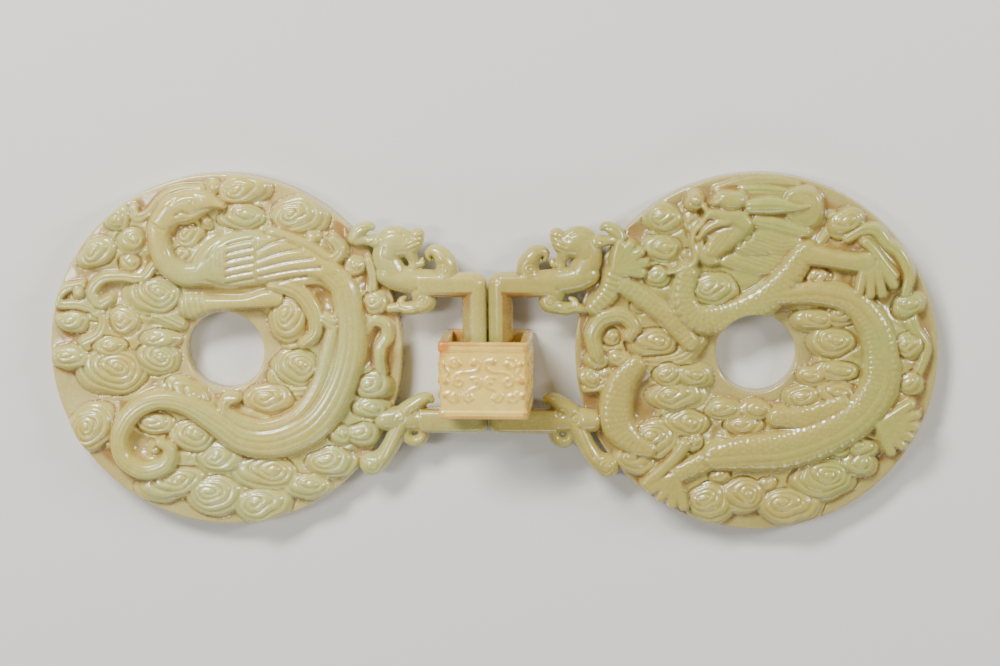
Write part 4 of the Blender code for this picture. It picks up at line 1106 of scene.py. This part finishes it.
def make_nephrite(name, pale, warm, deep, stain_and_shade, russet_place=None):
    """Polished nephrite, with its main colour, its honey areas, its ground, and the stain and painted shade
    in its lines.
    """
    material = bpy.data.materials.new(name)
    material.use_nodes = True
    tree = material.node_tree
    shader = tree.nodes["Principled BSDF"]
    for socket, value in (("Roughness", 0.24), ("IOR", 1.61), ("Subsurface Weight", 0.5),
                          ("Subsurface Radius", (1.0, 0.85, 0.45)), ("Subsurface Scale", 2.0 * MM),
                          ("Coat Weight", 0.45), ("Coat Roughness", 0.08)):
        shader.inputs[socket].default_value = value
    place = add_node(tree, "ShaderNodeTexCoord").outputs["Object"]

    # Two colours that drift over centimetres, with fine lighter and darker flecks
    drift = add_node(tree, "ShaderNodeTexNoise",
                     {"Scale": 1 / (DRIFT_SIZE * MM), "Detail": 3.0, "Roughness": 0.5}, Vector=place)
    drift_share = add_node(tree, "ShaderNodeMapRange", {"From Min": 0.38, "From Max": 0.62},
                           Value=drift.outputs["Fac"])
    body = add_node(tree, "ShaderNodeMix", {"data_type": "RGBA", "6": linear(pale), "7": linear(warm)},
                    Factor=drift_share.outputs["Result"])
    fleck = add_node(tree, "ShaderNodeTexNoise",
                     {"Scale": 1 / (FLECK_SIZE * MM), "Detail": 4.0, "Roughness": 0.65}, Vector=place)
    fleck_tone = add_node(tree, "ShaderNodeMapRange",
                          {"From Min": 0.35, "From Max": 0.75, "To Min": 1.05, "To Max": 0.9},
                          Value=fleck.outputs["Fac"])
    toned = add_node(tree, "ShaderNodeVectorMath", {"operation": "SCALE"},
                     i0=body.outputs[2], Scale=fleck_tone.outputs["Result"])

    # The ground of a disc is deeper in colour than its figures
    ground = add_node(tree, "ShaderNodeAttribute", {"attribute_name": "ground"})
    ground_share = add_node(tree, "ShaderNodeMath", {"operation": "MULTIPLY", "1": 0.7},
                            i0=ground.outputs["Fac"])
    grounded = add_node(tree, "ShaderNodeMix", {"data_type": "RGBA", "7": linear(deep)},
                        Factor=ground_share.outputs[0], i6=toned.outputs[0])

    # Stain and painted shade in the hollows, stronger in some patches than in others
    hollow = add_node(tree, "ShaderNodeAttribute", {"attribute_name": "hollow"})
    stain_and_shade_share = add_node(tree, "ShaderNodeMapRange",
                       {"From Min": 0.57, "From Max": 0.86, "To Min": 0.0, "To Max": 0.8},
                       Value=hollow.outputs["Fac"])
    patch = add_node(tree, "ShaderNodeTexNoise", {"Scale": 1 / (PATCH_SIZE * MM), "Detail": 2.0},
                     Vector=place)
    patch_share = add_node(tree, "ShaderNodeMapRange",
                           {"From Min": 0.3, "From Max": 0.6, "To Min": 0.35, "To Max": 1.0},
                           Value=patch.outputs["Fac"])
    amount = add_node(tree, "ShaderNodeMath", {"operation": "MULTIPLY"},
                      i0=stain_and_shade_share.outputs["Result"], i1=patch_share.outputs["Result"])
    color = add_node(tree, "ShaderNodeMix", {"data_type": "RGBA", "7": linear(stain_and_shade)},
                     Factor=amount.outputs[0], i6=grounded.outputs[2])

    # A patch of russet with a ragged edge round one place
    if russet_place:
        away = add_node(tree, "ShaderNodeVectorMath", {"operation": "DISTANCE", "1": russet_place},
                        i0=place)
        ragged = add_node(tree, "ShaderNodeTexNoise", {"Scale": 1 / (RAGGED_SIZE * MM), "Detail": 3.0},
                          Vector=place)
        edge = add_node(tree, "ShaderNodeMath", {"operation": "MULTIPLY_ADD", "1": 3.0 * MM},
                        i0=ragged.outputs["Fac"], i2=away.outputs["Value"])
        near = add_node(tree, "ShaderNodeMapRange",
                        {"From Min": 3.6 * MM, "From Max": 5.4 * MM, "To Min": 0.9, "To Max": 0.0},
                        Value=edge.outputs[0])
        color = add_node(tree, "ShaderNodeMix", {"data_type": "RGBA", "7": linear(RUSSET)},
                         Factor=near.outputs["Result"], i6=color.outputs[2])
    tree.links.new(color.outputs[2], shader.inputs["Base Color"])

    # Polish that varies a little, and a very fine grain under it
    grain = add_node(tree, "ShaderNodeTexNoise", {"Scale": 1 / (GRAIN_SIZE * MM), "Detail": 3.0},
                     Vector=place)
    gloss = add_node(tree, "ShaderNodeMapRange",
                     {"From Min": 0.3, "From Max": 0.7, "To Min": 0.19, "To Max": 0.31},
                     Value=grain.outputs["Fac"])
    tree.links.new(gloss.outputs["Result"], shader.inputs["Roughness"])
    bump = add_node(tree, "ShaderNodeBump", {"Strength": 0.25, "Distance": 0.03 * MM},
                    Height=grain.outputs["Fac"])
    tree.links.new(bump.outputs["Normal"], shader.inputs["Normal"])
    return material


# The last colour of each jade is the tan of its hollows: partly stain, partly painted shade
jade_phoenix = make_nephrite("nephrite_grey_green_polished", "B4B26A", "BCAC5A", "C2B070", "96682A")
jade_dragon = make_nephrite("nephrite_honey_green_polished", "A2A154", "AC9D50", "AA9A5E", "8A6026")
jade_sleeve = make_nephrite("nephrite_cream_polished", "E4CA6C", "E8C456", "DEBE62", "B47E30",
                            russet_place=RUSSET_CORNER)
print("jades:", [jade.name for jade in (jade_phoenix, jade_dragon, jade_sleeve)])

# %% [markdown]
# ## Making the pieces
# Each disc is carved, thinned, and joined with its own brackets, arms and post. The left one is mirrored.

# %% Make both discs and the sleeve
DISC_TRIANGLES = 148000
BRACKET_TRIANGLES = 42000

bracket_cuts = bracket_lines()
for name, carve, side, material, body, slot in (
        ("phoenix_disc_jade", carve_phoenix, -1, jade_phoenix, "phoenix", "phoenix_jade"),
        ("dragon_disc_jade", carve_dragon, 1, jade_dragon, "dragon", "dragon_jade")):
    piece = carved_disc(name, carve, side)
    thin_out(piece, DISC_TRIANGLES)
    skin = bead_skin(name + "_skin", bracket_rows())
    cut_lines(skin, bracket_cuts)
    thin_out(skin, BRACKET_TRIANGLES)
    if side < 0:
        bm = bmesh.new()
        bm.from_mesh(skin.data)
        bmesh.ops.scale(bm, vec=(-1, 1, 1), verts=bm.verts)
        bmesh.ops.recalc_face_normals(bm, faces=bm.faces)
        bm.to_mesh(skin.data)
        bm.free()
    join_solid(piece, skin)
    finish_piece(piece, material, name.replace("_jade", ""), body)

sleeve = make_sleeve("sleeve_jade")
finish_piece(sleeve, jade_sleeve, "sleeve", "sleeve")
